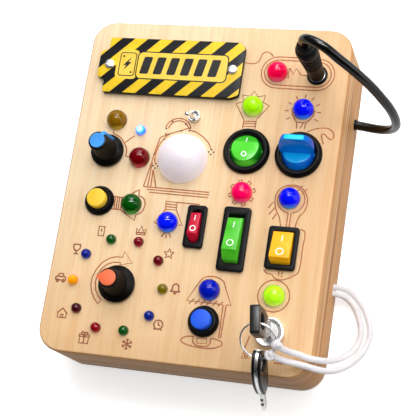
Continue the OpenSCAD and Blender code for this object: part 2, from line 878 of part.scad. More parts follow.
front_case();
back_case();
case_screws();
cover_plate();
plate_screws();
battery_box();
battery_cells();
battery_contacts();
circuit_board();
lamp_legs();
big_lamp(0);  // lamp_amber
big_lamp(1);  // lamp_ruby
big_lamp(2);  // lamp_coral
big_lamp(3);  // lamp_blue_top
big_lamp(4);  // lamp_lime_top
big_lamp(5);  // lamp_green
big_lamp(6);  // lamp_blue_left
big_lamp(7);  // lamp_pink
big_lamp(8);  // lamp_blue_right
big_lamp(9);  // lamp_blue_house
big_lamp(10);  // lamp_lime_low
small_lamps();
dome_lens();
red_housing();
red_rocker();
green_housing();
green_rocker();
yellow_housing();
yellow_rocker();
round_housing();
round_rocker();
paddle_housing();
paddle();
yellow_button_housing();
yellow_button();
yellow_button_spring();
blue_button_housing();
blue_button();
blue_button_spring();
upper_switch();
upper_knob();
upper_knob_cap();
lower_switch();
lower_knob();
lower_knob_cap();
toggle_body();
toggle_lever();
panel_nuts();
lock_body();
lock_barrel();
lock_key();
key_ring();
spare_key();
jack();
plug();
cable();
cable_collar();
string_inner();
string_outer();
string_knots();
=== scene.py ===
import math
import bpy
from mathutils import Matrix, Vector


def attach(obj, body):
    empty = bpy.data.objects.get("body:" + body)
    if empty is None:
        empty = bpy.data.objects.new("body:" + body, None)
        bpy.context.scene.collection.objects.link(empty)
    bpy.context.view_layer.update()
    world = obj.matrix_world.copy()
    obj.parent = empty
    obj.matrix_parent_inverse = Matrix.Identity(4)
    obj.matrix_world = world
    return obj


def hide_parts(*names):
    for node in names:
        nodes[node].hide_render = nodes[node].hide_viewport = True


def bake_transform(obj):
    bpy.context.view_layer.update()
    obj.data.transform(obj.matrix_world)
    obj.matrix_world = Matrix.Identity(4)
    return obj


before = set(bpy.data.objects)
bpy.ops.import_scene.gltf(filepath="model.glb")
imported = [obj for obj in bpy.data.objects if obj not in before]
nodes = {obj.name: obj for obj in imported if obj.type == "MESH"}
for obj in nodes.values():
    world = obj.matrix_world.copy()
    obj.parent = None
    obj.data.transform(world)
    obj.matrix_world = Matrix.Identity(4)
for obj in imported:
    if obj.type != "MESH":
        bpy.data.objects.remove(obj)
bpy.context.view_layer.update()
mm = 0.001  # sizes below are millimetres, and become metres where they are used


def scaled(point):
    return Vector(point) * mm


# the camera stands above the lower right of the board, as in the photograph
camera = {
    "place": (176.40, -161.60, 598.91),
    "right": (0.95698, 0.15159, -0.24741),
    "up": (-0.07792, 0.95562, 0.28411),
    "back": (0.27949, -0.25261, 0.92632),
    "lens": 106.26,
    "sensor": 36,
}
bpy.ops.object.select_all(action="DESELECT")
bpy.ops.object.camera_add(location=(0, 0, 0))
shot = bpy.context.object
shot.name = "photoCamera"
axes = Matrix((camera["right"], camera["up"], camera["back"])).transposed()
shot.matrix_world = Matrix.Translation(scaled(camera["place"])) @ axes.to_4x4()
shot.data.lens = camera["lens"]
shot.data.sensor_width = camera["sensor"]
shot.data.clip_start = 0.01
bpy.context.scene.camera = shot
print("camera placed")


def deselectAll():
    if bpy.context.mode != "OBJECT":
        bpy.ops.object.mode_set(mode="OBJECT")
    bpy.ops.object.select_all(action="DESELECT")


def makeActive(piece):
    deselectAll()
    piece.select_set(True)
    bpy.context.view_layer.objects.active = piece


def applyPlace():
    bpy.ops.object.transform_apply(location=True, rotation=True, scale=True)


def pick(piece, kind, test):
    # selects what passes the test, by place in millimetres, and stays in edit mode
    makeActive(piece)
    bpy.ops.object.mode_set(mode="EDIT")
    bpy.ops.mesh.select_mode(type=kind)
    bpy.ops.mesh.select_all(action="DESELECT")
    bpy.ops.object.mode_set(mode="OBJECT")
    mesh = piece.data
    if kind == "FACE":
        for face in mesh.polygons:
            face.select = test(face.center / mm)
    else:
        for edge in mesh.edges:
            edge.select = test(*[mesh.vertices[end].co / mm for end in edge.vertices])
    bpy.ops.object.mode_set(mode="EDIT")


def addBlock(name, centre, size):
    deselectAll()
    bpy.ops.mesh.primitive_cube_add(size=1, location=scaled(centre), scale=scaled(size))
    bpy.context.object.name = name
    applyPlace()
    return bpy.context.object


def addPeg(name, at, radius, low, high, sides=48):
    deselectAll()
    bpy.ops.mesh.primitive_cylinder_add(
        vertices=sides, radius=radius * mm, depth=(high - low) * mm,
        location=scaled((at[0], at[1], (low + high) / 2)),
    )
    bpy.context.object.name = name
    applyPlace()
    return bpy.context.object


def addAxle(name, centre, radius, reach):
    # a peg that lies along X
    return place(addPeg(name, (0, 0), radius, -reach, reach, 32), pose(centre, ("Y", 90)))


def pose(at, *turns):
    # a place in millimetres, with turns such as ("X", 30); the last turn is made first
    matrix = Matrix.Translation(scaled(at))
    for axis, degrees in turns:
        matrix = matrix @ Matrix.Rotation(math.radians(degrees), 4, axis)
    return matrix


def place(piece, matrix):
    makeActive(piece)
    piece.matrix_world = matrix
    applyPlace()
    return piece


def bevelEdges(piece, test, width, segments):
    pick(piece, "EDGE", test)
    bpy.ops.mesh.bevel(offset=width * mm, segments=segments, affect="EDGES")
    bpy.ops.object.mode_set(mode="OBJECT")
    return piece


def roundUprights(block, radius, segments=8):
    return bevelEdges(block, lambda a, b: (a - b).xy.length < 0.01, radius, segments)


def combine(piece, other, operation="DIFFERENCE"):
    makeActive(piece)
    cut = piece.modifiers.new("cut", "BOOLEAN")
    cut.operation = operation
    cut.object = other
    cut.solver = "EXACT"
    bpy.ops.object.modifier_apply(modifier=cut.name)
    remove(other)
    return piece


def remove(piece):
    makeActive(piece)
    bpy.ops.object.delete()


def joinAll(name, parts):
    deselectAll()
    for part in parts:
        part.select_set(True)
    bpy.context.view_layer.objects.active = parts[0]
    bpy.ops.object.join()
    parts[0].name = name
    return parts[0]


def softenEdges(piece, width, segments=2, angle=30):
    makeActive(piece)
    soft = piece.modifiers.new("soft edges", "BEVEL")
    soft.width = width * mm
    soft.segments = segments
    soft.limit_method = "ANGLE"
    soft.angle_limit = math.radians(angle)
    bpy.ops.object.modifier_apply(modifier=soft.name)
    return piece


def startOutline(name, start):
    # a small plane is drawn together to one corner, from which an outline is pulled
    deselectAll()
    bpy.ops.mesh.primitive_plane_add(size=mm, location=scaled(start))
    bpy.context.object.name = name
    applyPlace()
    bpy.ops.object.mode_set(mode="EDIT")
    bpy.ops.mesh.select_mode(type="VERT")
    bpy.ops.mesh.select_all(action="SELECT")
    bpy.ops.mesh.merge(type="CENTER")
    return bpy.context.object


def pullOutline(points):
    for here, there in zip(points, points[1:]):
        step = scaled(there) - scaled(here)
        bpy.ops.mesh.extrude_vertices_move(TRANSFORM_OT_translate={"value": step})


def tidyMesh():
    bpy.ops.mesh.select_all(action="SELECT")
    bpy.ops.mesh.remove_doubles(threshold=1e-6)
    bpy.ops.mesh.normals_make_consistent(inside=False)
    bpy.ops.object.mode_set(mode="OBJECT")


def spinShape(name, outline, at=(0, 0), steps=64, edge=0.0):
    # the outline is (radius, height), and is spun round an upright line
    points = [(at[0] + radius, at[1], height) for radius, height in outline]
    piece = startOutline(name, points[0])
    pullOutline(points)
    bpy.ops.mesh.select_all(action="SELECT")
    bpy.ops.mesh.spin(steps=steps, angle=2 * math.pi, center=scaled((at[0], at[1], 0)), axis=(0, 0, 1))
    tidyMesh()
    if edge:
        softenEdges(piece, edge)
    return piece


def cutSheet(name, outline, low, high):
    # a closed outline is filled and pulled up to its thickness
    points = [(x, y, low) for x, y in outline] + [(outline[0][0], outline[0][1], low)]
    piece = startOutline(name, points[0])
    pullOutline(points)
    bpy.ops.mesh.select_all(action="SELECT")
    bpy.ops.mesh.remove_doubles(threshold=1e-6)
    bpy.ops.mesh.edge_face_add()
    bpy.ops.mesh.extrude_region_move(TRANSFORM_OT_translate={"value": (0, 0, (high - low) * mm)})
    tidyMesh()
    return piece


def around(centre, radius, degrees):
    turn = math.radians(degrees)
    return centre[0] + radius * math.cos(turn), centre[1] + radius * math.sin(turn)


def arc(centre, radius, start, end, count):
    return [around(centre, radius, start + (end - start) * k / count) for k in range(count + 1)]


def roundedOutline(low, high, radius, count=5):
    (x0, y0), (x1, y1) = low, high
    corners = [
        (x1 - radius, y1 - radius, 0), (x0 + radius, y1 - radius, 90),
        (x0 + radius, y0 + radius, 180), (x1 - radius, y0 + radius, 270),
    ]
    return [spot for x, y, turn in corners for spot in arc((x, y), radius, turn, turn + 90, count)]


def newCurve(name, points, kind, thickness):
    # kind is smooth, straight, loop (smooth and closed) or shape (straight and closed)
    line = bpy.data.objects.get(name)
    if line is None:
        data = bpy.data.curves.new(name, "CURVE")
        data.dimensions = "3D"
        data.bevel_depth = thickness / 2 * mm
        data.use_fill_caps = True
        line = bpy.data.objects.new(name, data)
        bpy.context.collection.objects.link(line)
    spline = line.data.splines.new("BEZIER")
    spline.bezier_points.add(len(points) - 1)
    for knot, point in zip(spline.bezier_points, points):
        knot.co = scaled(tuple(point) + (0,) * (3 - len(point)))
        bend = "AUTO" if kind in ("smooth", "loop") else "VECTOR"
        knot.handle_left_type = knot.handle_right_type = bend
    spline.use_cyclic_u = kind in ("loop", "shape")
    return line


def toMesh(line):
    makeActive(line)
    bpy.ops.object.convert(target="MESH")
    return bpy.context.object


def drawLines(name, strokes, width, height, rise=0.05):
    # strokes become one mesh, pressed flat, that lies on a surface at that height
    for kind, points in strokes:
        line = newCurve(name, points, kind, width)
    line.data.bevel_resolution = 0
    line.data.resolution_u = 5
    piece = toMesh(line)
    return place(piece, pose((0, 0, height)) @ Matrix.Diagonal((1, 1, 2 * rise / width, 1)))


def placeCopy(model, name, at, turn=0):
    makeActive(model)
    bpy.ops.object.duplicate()
    piece = bpy.context.object
    piece.name = name
    return place(piece, pose(at, ("Z", turn)))


def dress(piece, finish, body, slotName, *replaced, smooth=35):
    makeActive(piece)
    bpy.ops.object.shade_smooth_by_angle(angle=math.radians(smooth))
    piece.data.materials.clear()
    piece.data.materials.append(finish)
    if body:
        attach(piece, body)
    if replaced:
        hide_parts(*replaced)
    return piece


def linear(hexColour):
    parts = [int(hexColour[k:k + 2], 16) / 255 for k in (1, 3, 5)]
    return [v / 12.92 if v <= 0.04045 else ((v + 0.055) / 1.055) ** 2.4 for v in parts] + [1]


def addNode(tree, kind, inputs=None, **settings):
    node = tree.nodes.new(kind)
    for name, value in settings.items():
        setattr(node, name, value)
    for name, value in (inputs or {}).items():
        if isinstance(value, bpy.types.NodeSocket):
            tree.links.new(value, node.inputs[name])
        else:
            node.inputs[name].default_value = value
    return node


def colourRamp(tree, value, stops):
    # stops are (place, hex colour), from low to high
    ramp = addNode(tree, "ShaderNodeValToRGB", {"Fac": value})
    band = ramp.color_ramp
    while len(band.elements) < len(stops):
        band.elements.new(0.5)
    for element, (spot, colour) in zip(band.elements, stops):
        element.position = spot
        element.color = linear(colour)
    return ramp.outputs["Color"]


def mapRange(tree, value, low, high, toLow=0.0, toHigh=1.0):
    inputs = {"Value": value, "From Min": low, "From Max": high, "To Min": toLow, "To Max": toHigh}
    return addNode(tree, "ShaderNodeMapRange", inputs).outputs["Result"]


def mixColours(tree, factor, first, second, blend="MIX"):
    # inputs 6 and 7 and output 2 are the colours of this node
    inputs = {"Factor": factor, 6: first, 7: second}
    return addNode(tree, "ShaderNodeMix", inputs, data_type="RGBA", blend_type=blend).outputs[2]


def calculate(tree, operation, *values):
    return addNode(tree, "ShaderNodeMath", dict(enumerate(values)), operation=operation).outputs[0]


def facingFactor(tree, normal, way):
    product = addNode(tree, "ShaderNodeVectorMath", {0: normal, 1: way}, operation="DOT_PRODUCT")
    return product.outputs["Value"]


def splitAxes(tree, vector):
    return addNode(tree, "ShaderNodeSeparateXYZ", {"Vector": vector}).outputs


def newFinish(name, colour, roughness, **sockets):
    finish = bpy.data.materials.new(name)
    finish.use_nodes = True
    tree = finish.node_tree
    shader = tree.nodes["Principled BSDF"]
    shader.inputs["Base Color"].default_value = linear(colour)
    shader.inputs["Roughness"].default_value = roughness
    for socket, value in sockets.items():
        shader.inputs[socket.replace("_", " ")].default_value = value
    return finish, tree, shader


def stretchedNoise(tree, size, detail=2.0, roughness=0.5):
    # noise whose patches measure that many millimetres along X, Y and Z
    spot = addNode(tree, "ShaderNodeTexCoord").outputs["Object"]
    scale = [1 / (side * mm) for side in size]
    stretch = addNode(tree, "ShaderNodeMapping", {"Vector": spot, "Scale": scale})
    inputs = {"Vector": stretch.outputs["Vector"], "Scale": 1.0, "Detail": detail, "Roughness": roughness}
    return addNode(tree, "ShaderNodeTexNoise", inputs).outputs["Fac"]


def addBump(tree, shader, height, strength, depth):
    bump = addNode(tree, "ShaderNodeBump", {"Height": height, "Strength": strength, "Distance": depth * mm})
    tree.links.new(bump.outputs["Normal"], shader.inputs["Normal"])


def vary(tree, shader, pattern, stops, gloss):
    # the colour and the roughness both follow the pattern
    tree.links.new(colourRamp(tree, pattern, stops), shader.inputs["Base Color"])
    tree.links.new(mapRange(tree, pattern, 0.3, 0.7, *gloss), shader.inputs["Roughness"])


def mouldedPlastic(name, colour, shade, roughness, grain=0.5, bite=0.12, **sockets):
    # injection-moulded ABS: even colour, a fine eroded grain and a slightly cloudy gloss
    finish, tree, shader = newFinish(name, colour, roughness, **sockets)
    cloud = stretchedNoise(tree, (7, 7, 7))
    vary(tree, shader, cloud, [(0.3, shade), (0.7, colour)], (roughness * 0.85, roughness * 1.15))
    addBump(tree, shader, stretchedNoise(tree, (grain, grain, grain), 3), bite, 0.05)
    return finish


def platedMetal(name, colour, shade, roughness):
    # polished and plated steel: bright, with fine polishing lines that spread the glints
    finish, tree, shader = newFinish(name, colour, roughness, Metallic=1.0)
    lines = stretchedNoise(tree, (0.3, 0.3, 6), 3)
    vary(tree, shader, lines, [(0.35, shade), (0.65, colour)], (roughness * 0.7, roughness * 1.4))
    addBump(tree, shader, lines, 0.08, 0.03)
    return finish


blackAbs = mouldedPlastic("mouldedBlackAbs", "#0B0B0C", "#080809", 0.42, Specular_IOR_Level=0.08)
knobBlack = mouldedPlastic("satinBlackKnobAbs", "#0B0806", "#070504", 0.4, 0.4, 0.15, Specular_IOR_Level=0.12)
rubberBlack = mouldedPlastic(
    "mouldedBlackRubber", "#0B0A09", "#070606", 0.42, 0.6, 0.15, Specular_IOR_Level=0.1,
)
sheathBlack = mouldedPlastic(
    "extrudedBlackPvc", "#0C0C0C", "#080808", 0.17, 3.0, 0.03, Specular_IOR_Level=0.35,
)
nickel = platedMetal("nickelPlatedSteel", "#F2F1F0", "#DDDCDB", 0.27)
brightZinc = platedMetal("zincPlatedSteel", "#F0F0F1", "#DCDDDF", 0.36)
print("finishes for plastic and metal made")


# the power cable leaves the right side, rises in a free arch and ends in the plug
cableLead = {
    "diameter": 4.6,
    "route": [
        (54, 49.6, 9), (61, 49.6, 9), (69, 49.6, 9), (74.5, 48.8, 9.1), (79.8, 47.8, 10), (84.8, 46.6, 12.6),
        (89, 45.4, 17.4), (92, 44.4, 24), (93.3, 44, 32), (93, 44.4, 41), (91.4, 45.4, 49), (88.5, 46.9, 57),
        (84.8, 48.8, 65), (80.6, 50.6, 72), (75.8, 52.6, 78.6), (71, 54.6, 84.2), (66.5, 56.8, 88.7),
        (62, 59, 90), (57.5, 61.2, 88.7), (54.2, 62.8, 85), (53, 63.35, 80.6), (53, 63.35, 78),
    ],
}
# two white strings come out of the right side, lie on the floor and climb to the key ring
keyStrings = {
    "diameter": 3,
    "inner": [
        (59, -39.1, 9.2), (66, -39.1, 9.2), (70, -39.2, 8.6), (73, -39.3, 6.2), (76, -40.3, 3.2),
        (79.7, -44.2, 1.7), (82.4, -49.5, 1.6), (83.9, -55, 1.6), (83.7, -60.5, 2.2), (82, -65.5, 5),
        (79.6, -69.8, 11), (77, -73.4, 20), (74.4, -76.2, 31), (71, -77.6, 40), (67, -77.6, 43),
        (63, -76.8, 45.5), (60, -76.9, 49.1), (58, -76.7, 53.4), (56.3, -76.2, 58.2),
    ],
    "outer": [
        (59, -36, 9.2), (66, -36, 9.2), (70, -35.9, 8.6), (73.5, -35.8, 6.2), (77.4, -37, 3.2),
        (82.3, -41.2, 1.7), (86, -47.3, 1.6), (88.3, -54, 1.6), (88.1, -60.7, 2.2), (85.8, -67.3, 5),
        (82.4, -73.2, 11), (78.9, -77.8, 20), (75.6, -80.9, 31), (71.6, -82, 40), (67, -81.6, 43.2),
        (62, -81.2, 45.8), (58.4, -81.1, 48.7), (55.9, -80.9, 52.2), (53.5, -80.6, 55.9),
    ],
}


def makeTube(name, route, diameter, rounds=4):
    # returns the tube and the line that it follows
    spine = newCurve(name + "Line", route, "smooth", 0)
    spine.data.resolution_u = 6
    spine.data.use_fill_caps = False
    tube = newCurve(name, route, "smooth", diameter)
    tube.data.resolution_u = 6
    tube.data.bevel_resolution = rounds
    tube = toMesh(tube)
    spine = toMesh(spine)
    path = [tuple(corner.co) for corner in spine.data.vertices]
    remove(spine)
    return tube, path


plait = {"across": 4, "along": 46, "wave": 0.6283}  # strands round the cord and along it


def braidedCotton():
    # round plaited cord of bright cotton: slanting strands 1.2 mm wide that catch the light one by one, with
    # painted shade between the strands and a faint painted glow that keeps the cord white
    finish, tree, shader = newFinish(
        "plaitedWhiteCotton", "#FBFAFA", 0.7,
        Sheen_Weight=0.3, Emission_Color=linear("#FFF8FC"), Emission_Strength=0.14,
    )
    strip = addNode(tree, "ShaderNodeUVMap").outputs["UV"]
    waves = []
    for side in (1, -1):
        scale = (side * plait["across"] * plait["wave"], plait["along"] * plait["wave"], 1)
        turned = addNode(tree, "ShaderNodeMapping", {"Vector": strip, "Scale": scale}).outputs["Vector"]
        inputs = {"Vector": turned, "Scale": 1.0}
        wave = addNode(tree, "ShaderNodeTexWave", inputs, bands_direction="DIAGONAL")
        waves.append(wave.outputs["Fac"])
    crossed = calculate(tree, "MULTIPLY", *waves)
    # painted shade: the grooves between the strands are darker
    tone = colourRamp(tree, crossed, [(0.0, "#DDD8DC"), (0.45, "#FCFAFB")])
    tree.links.new(tone, shader.inputs["Base Color"])
    addBump(tree, shader, crossed, 0.6, 0.25)
    return finish


cotton = braidedCotton()
# the short length in its hole is a piece of its own, so that the cord starts where it leaves the board
cable, cablePath = makeTube("powerCable", cableLead["route"][2:], cableLead["diameter"], 6)
cableRoot = makeTube("cableInWall", cableLead["route"][:3], cableLead["diameter"], 6)[0]
dress(cable, sheathBlack, None, "cable_black", "cable", smooth=50)
dress(cableRoot, sheathBlack, "board", "cable_black", "cable")
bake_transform(cable)

# each overhand knot is drawn tight round the ring's wire, and leans its own way
knotShape = {"across": 1.15, "wave": 0.48, "rise": 0.95, "thickness": 2.3, "points": 48}
knotPlaces = {"inner": ((55.8, -76.0, 60.2), (70, 20, 15)), "outer": ((52.9, -80.5, 57.4), (60, -15, 70))}
winding = []
for k in range(knotShape["points"]):
    turn = 2 * math.pi * k / knotShape["points"]
    reach = knotShape["across"] + knotShape["wave"] * math.cos(3 * turn)
    rise = knotShape["rise"] * math.sin(3 * turn)
    winding.append((reach * math.cos(2 * turn), reach * math.sin(2 * turn), rise))
stopperLoop = [(0.55 * math.cos(k), 0.55 * math.sin(k), 0.1 * math.sin(2 * k)) for k in range(6)]
strings = {}
for side, (knotAt, (leanX, leanY, leanZ)) in knotPlaces.items():
    route = keyStrings[side]
    cordPiece, path = makeTube(side + "String", route[1:], keyStrings["diameter"])
    root = makeTube(side + "StringInWall", route[:2], keyStrings["diameter"])[0]
    for piece in (root, cordPiece):
        dress(piece, cotton, "board", "string_white", "string_" + side, smooth=60)
    knot = newCurve(side + "Knot", winding, "loop", knotShape["thickness"])
    knot.data.resolution_u = 3
    knot.data.bevel_resolution = 3
    knot = place(toMesh(knot), pose(knotAt, ("Z", leanZ), ("Y", leanY), ("X", leanX)))
    stopper = toMesh(newCurve(side + "Stopper", stopperLoop, "loop", 1.8))
    place(stopper, pose((57.6, route[0][1], 9.2)))
    knot = joinAll(side + "Knot", [knot, stopper])
    dress(knot, cotton, "board", "string_white", "string_knots", smooth=60)
    strings[side] = (cordPiece, path, knot)
print("cable and strings laid")


def laminatedPine():
    # laminated pine, sanded and lacquered: pale, with upright grain and glued layers on the sides
    finish, tree, shader = newFinish("lacqueredLaminatedPine", "#F6D6A8", 0.5, Specular_IOR_Level=0.2)
    spot = addNode(tree, "ShaderNodeTexCoord")
    split = splitAxes(tree, spot.outputs["Object"])
    # painted shade: the wood is lighter at the left and darker at the right, and darker and more orange
    # towards the bottom, as the light falls
    across = mapRange(tree, split["X"], -0.07, 0.07)
    shadedAcrossTones = [(0.0, "#FCE2BC"), (0.45, "#F8DBB2"), (0.8, "#F0C898"), (1.0, "#E6B884")]
    ground = colourRamp(tree, across, shadedAcrossTones)
    down = mapRange(tree, split["Y"], 0.0, -0.08)
    shadedDown = mixColours(tree, down, ground, linear("#F0C796"))
    streaks = stretchedNoise(tree, (5, 130, 60), 3, 0.55)  # year rings show as streaks 5 mm wide
    streakTone = colourRamp(tree, streaks, [(0.33, "#F6ECE0"), (0.5, "#FFFFFF"), (0.7, "#FAEFE0")])
    grained = mixColours(tree, 0.9, shadedDown, streakTone, "MULTIPLY")
    pores = stretchedNoise(tree, (0.7, 26, 20), 3, 0.6)  # fine pores, drawn 0.7 mm wide so that they show
    poreTone = colourRamp(tree, pores, [(0.3, "#E8D2BA"), (0.45, "#FFFFFF")])
    fine = mixColours(tree, 0.45, grained, poreTone, "MULTIPLY")
    layers = stretchedNoise(tree, (300, 300, 3.2), 2, 0.6)  # the glued layers are about 3 mm thick
    layerTones = [(0.36, "#A8642C"), (0.44, "#E0AC74"), (0.52, "#C88A4C"), (0.62, "#E8BC88")]
    layerTone = colourRamp(tree, layers, layerTones)
    upright = splitAxes(tree, spot.outputs["Normal"])
    level = calculate(tree, "ABSOLUTE", upright["Z"])
    sided = mixColours(tree, mapRange(tree, level, 0.75, 0.3), fine, layerTone)
    # the saw leaves a scorched rim along the front edge
    rim = mapRange(tree, level, 0.97, 0.8)
    high = mapRange(tree, split["Z"], 0.0385, 0.0392)
    faint = calculate(tree, "MULTIPLY", calculate(tree, "MULTIPLY", rim, high), 0.75)
    edged = mixColours(tree, faint, sided, linear("#C8874A"))
    tree.links.new(edged, shader.inputs["Base Color"])
    addBump(tree, shader, pores, 0.12, 0.06)
    return finish


pine = laminatedPine()

board = {
    "width": 138, "length": 175.5, "thickness": 40, "seam": 18, "corner": 12, "wall": 8,
    "frontEdge": 1.1, "seamEdge": 0.3, "pocketCorner": 6, "cellRoom": ((-23, 62.75), (56, 24.4)),
    "cordHoles": [(49.6, 9, 2.76), (-36, 9.2, 1.75), (-39.1, 9.2, 1.75)],
    "screws": [(57.5 * sx, 76.25 * sy) for sx in (-1, 1) for sy in (-1, 1)],
}
# each lamp: its place, its colour, a deeper colour for the painted shade at its edge and a bright colour for
# its painted crescent of light
bigLamps = {
    "amber": ((-47.5, 33.3), "#7C5600", "#4A3200", "#F0C440"),
    "ruby": ((-31.9, 14.1), "#6C0008", "#340002", "#F03050"),
    "coral": ((32.6, 64), "#FC0048", "#B40030", "#FF78A8"),
    "blue_top": ((48.4, 44.9), "#000CF8", "#000090", "#30B8FF"),
    "lime_top": ((22.7, 44.9), "#A4F008", "#50B400", "#F0FF90"),
    "green": ((-31.9, -10.5), "#024606", "#002401", "#40D048"),
    "blue_left": ((-11.6, -18.2), "#0014F8", "#000098", "#2CA4FF"),
    "pink": ((23.65, -0.1), "#FC0058", "#B8003C", "#FF80B8"),
    "blue_right": ((47.8, -1.1), "#000CF8", "#000090", "#30B8FF"),
    "blue_house": ((15, -49.9), "#0014A8", "#000258", "#3080F8"),
    "lime_low": ((46.9, -49.7), "#B4F81C", "#6CC000", "#F4FFA8"),
}
# each small lamp: its name, its place, its colour, the painted shade at its edge and its painted light; the
# lit one glows for real
smallLamps = [("lit", (-33.8, 28.7), "#10A0FF", "#0828FF", "#D8FFFF")]
ringTones = [  # round the lower knob, against the clock
    ("olive", "#6E6000", "#3E3600", "#C8B830"), ("darkRed", "#600410", "#300008", "#C82840"),
    ("red", "#740A18", "#40000C", "#D83850"), ("green", "#084A10", "#002804", "#38A848"),
    ("blue", "#081C80", "#020A40", "#3868D8"), ("orange", "#FFA000", "#D87400", "#FFD860"),
    ("plum", "#400414", "#1E0008", "#9C3050"), ("crimson", "#840610", "#480006", "#E04050"),
    ("leaf", "#084A12", "#002806", "#38A850"), ("navy", "#081C80", "#020A40", "#3868D8"),
]
lampRing = {"middle": (-32, -51.8), "radius": 23.5, "step": 36}
for number, (name, *tones) in enumerate(ringTones):
    spot = around(lampRing["middle"], lampRing["radius"], lampRing["step"] * number)
    smallLamps.append((name, spot, *tones))
rockers = {
    "red": {
        "at": (3.1, -19.45), "bezel": (10, 21.6), "open": (5.2, 16.6), "corner": 2.58,
        "top": (5.6, 4.3), "foot": (7.9, 0.8),
        "depth": 2, "colours": ("#C81434", "#A80C28"), "line": (1.5, 4.4), "ring": (-2.9, 1.35),
    },
    "green": {
        "at": (23.4, -24), "bezel": (13.6, 32.2), "open": (7.6, 24.2), "corner": 0.8,
        "top": (8.5, 6), "foot": (11.7, 1),
        "depth": 3, "colours": ("#54C42C", "#3CAC1C"), "line": (3.5, 6.6), "ring": (-4.9, 1.55),
    },
    "yellow": {
        "at": (47.7, -26.4), "bezel": (15, 21.3), "open": (10.1, 16.1), "corner": 0.8,
        "top": (6.8, 4.4), "foot": (7.65, 1),
        "depth": 3, "colours": ("#FFB818", "#F4A60C"), "line": (1.8, 4.9), "ring": (-3.8, 1.7),
    },
}
pivotZ, pinRadius, pinHole = 40.2, 1.2, 1.26  # the pin that a rocker tilts on, and its hole
roundSwitches = {"round": (22.9, 21.2), "paddle": (49.2, 21.2)}
buttons = {"yellow": (-49, -10.1), "blue": (14.5, -65.5)}
knobs = {"upper": (-49.4, 16.3), "lower": (-32, -51.8)}
toggleAt = (-6.7, 37.8)
lockAt = (47.4, -67.5)
jackAt = (53, 63.35)
domeAt = (-9.3, 15.1)


def hollowShell(name, low, high, pocketLow, pocketHigh):
    width, length, wall = board["width"], board["length"], board["wall"]
    shell = addBlock(name, (0, 0, (low + high) / 2), (width, length, high - low))
    roundUprights(shell, board["corner"], 14)
    pocketSize = (width - 2 * wall, length - 2 * wall, pocketHigh - pocketLow)
    return shell, addBlock("pocket", (0, 0, (pocketLow + pocketHigh) / 2), pocketSize)


def buildFront():
    top, seam = board["thickness"], board["seam"]
    front, pocket = hollowShell("boardFront", seam, top, 17, 36)
    bevelEdges(front, lambda a, b: min(a.z, b.z) > top - 0.1, board["frontEdge"], 3)
    bevelEdges(front, lambda a, b: max(a.z, b.z) < seam + 0.1, board["seamEdge"], 1)
    combine(front, roundUprights(pocket, board["pocketCorner"]))
    (boxX, boxY), (boxW, boxL) = board["cellRoom"]
    holes = [addBlock("cellRoom", (boxX, boxY, 38), (boxW, boxL, 6))]
    for switch in rockers.values():
        holes.append(addBlock("hole", (*switch["at"], 38), (*[side + 3.2 for side in switch["open"]], 6)))
    rounds = [(toggleAt, 3.25), (jackAt, 4.05), (domeAt, 10.0)]
    for places, radius in (
        ([lampSet[0] for lampSet in bigLamps.values()], 5.31), ([lampSet[1] for lampSet in smallLamps], 2.56),
        (roundSwitches.values(), 10.0), ((*buttons.values(), lockAt), 6.0), (knobs.values(), 3.6),
    ):
        rounds += [(at, radius) for at in places]
    holes += [addPeg("hole", at, radius, 35, 41, 32) for at, radius in rounds]
    combine(front, joinAll("holes", holes))
    dress(front, pine, "board", "wood_front", "front_case")


def buildBack():
    seam = board["seam"]
    back, pocket = hollowShell("boardBack", 0, seam, 4, 21)
    bevelEdges(back, lambda a, b: min(a.z, b.z) > seam - 0.1 or max(a.z, b.z) < 0.1, board["seamEdge"], 2)
    combine(back, roundUprights(pocket, board["pocketCorner"]))
    # a post at each corner, with a well for the screw's head and a hole for its thread
    for radius, low, high, sides, operation in (
        (5.2, 3.9, 18, 32, "UNION"), (3.6, -1, 8, 40, "DIFFERENCE"), (1.75, 7, 19, 24, "DIFFERENCE"),
    ):
        pegs = [addPeg("peg", at, radius, low, high, sides) for at in board["screws"]]
        combine(back, joinAll("pegs", pegs), operation)
    for y, z, radius in board["cordHoles"]:
        combine(back, addAxle("cordHole", (65, y, z), radius, 6))
    dress(back, pine, "board", "wood_back", "back_case")


buildFront()
buildBack()
print("board shells made")


# the printed cover of the battery room: acrylic with slanted stripes, dark at its cut edge
plate = {
    "outline": [
        (-57.9, 47.6), (10.7, 47.6), (15, 49.4), (15, 75.4), (12, 77.9), (-57.9, 77.9),
        (-57.9, 71.5), (-62.1, 69.8), (-62.1, 56.2), (-57.9, 54.6),
    ],
    "low": 40, "high": 43, "period": 14.0, "shift": 3.8, "yellow": "#FCD128", "black": "#18181C",
    "card": ((-50.4, 57.2), (-42.4, 69.3)), "strip": ((-39.8, 57.0), (6.0, 69.2)),
    "bars": [-36.9, -29.6, -22.3, -15.0, -7.7, -0.4], "screws": [(-56, 62.9), (10, 62.9)],
}


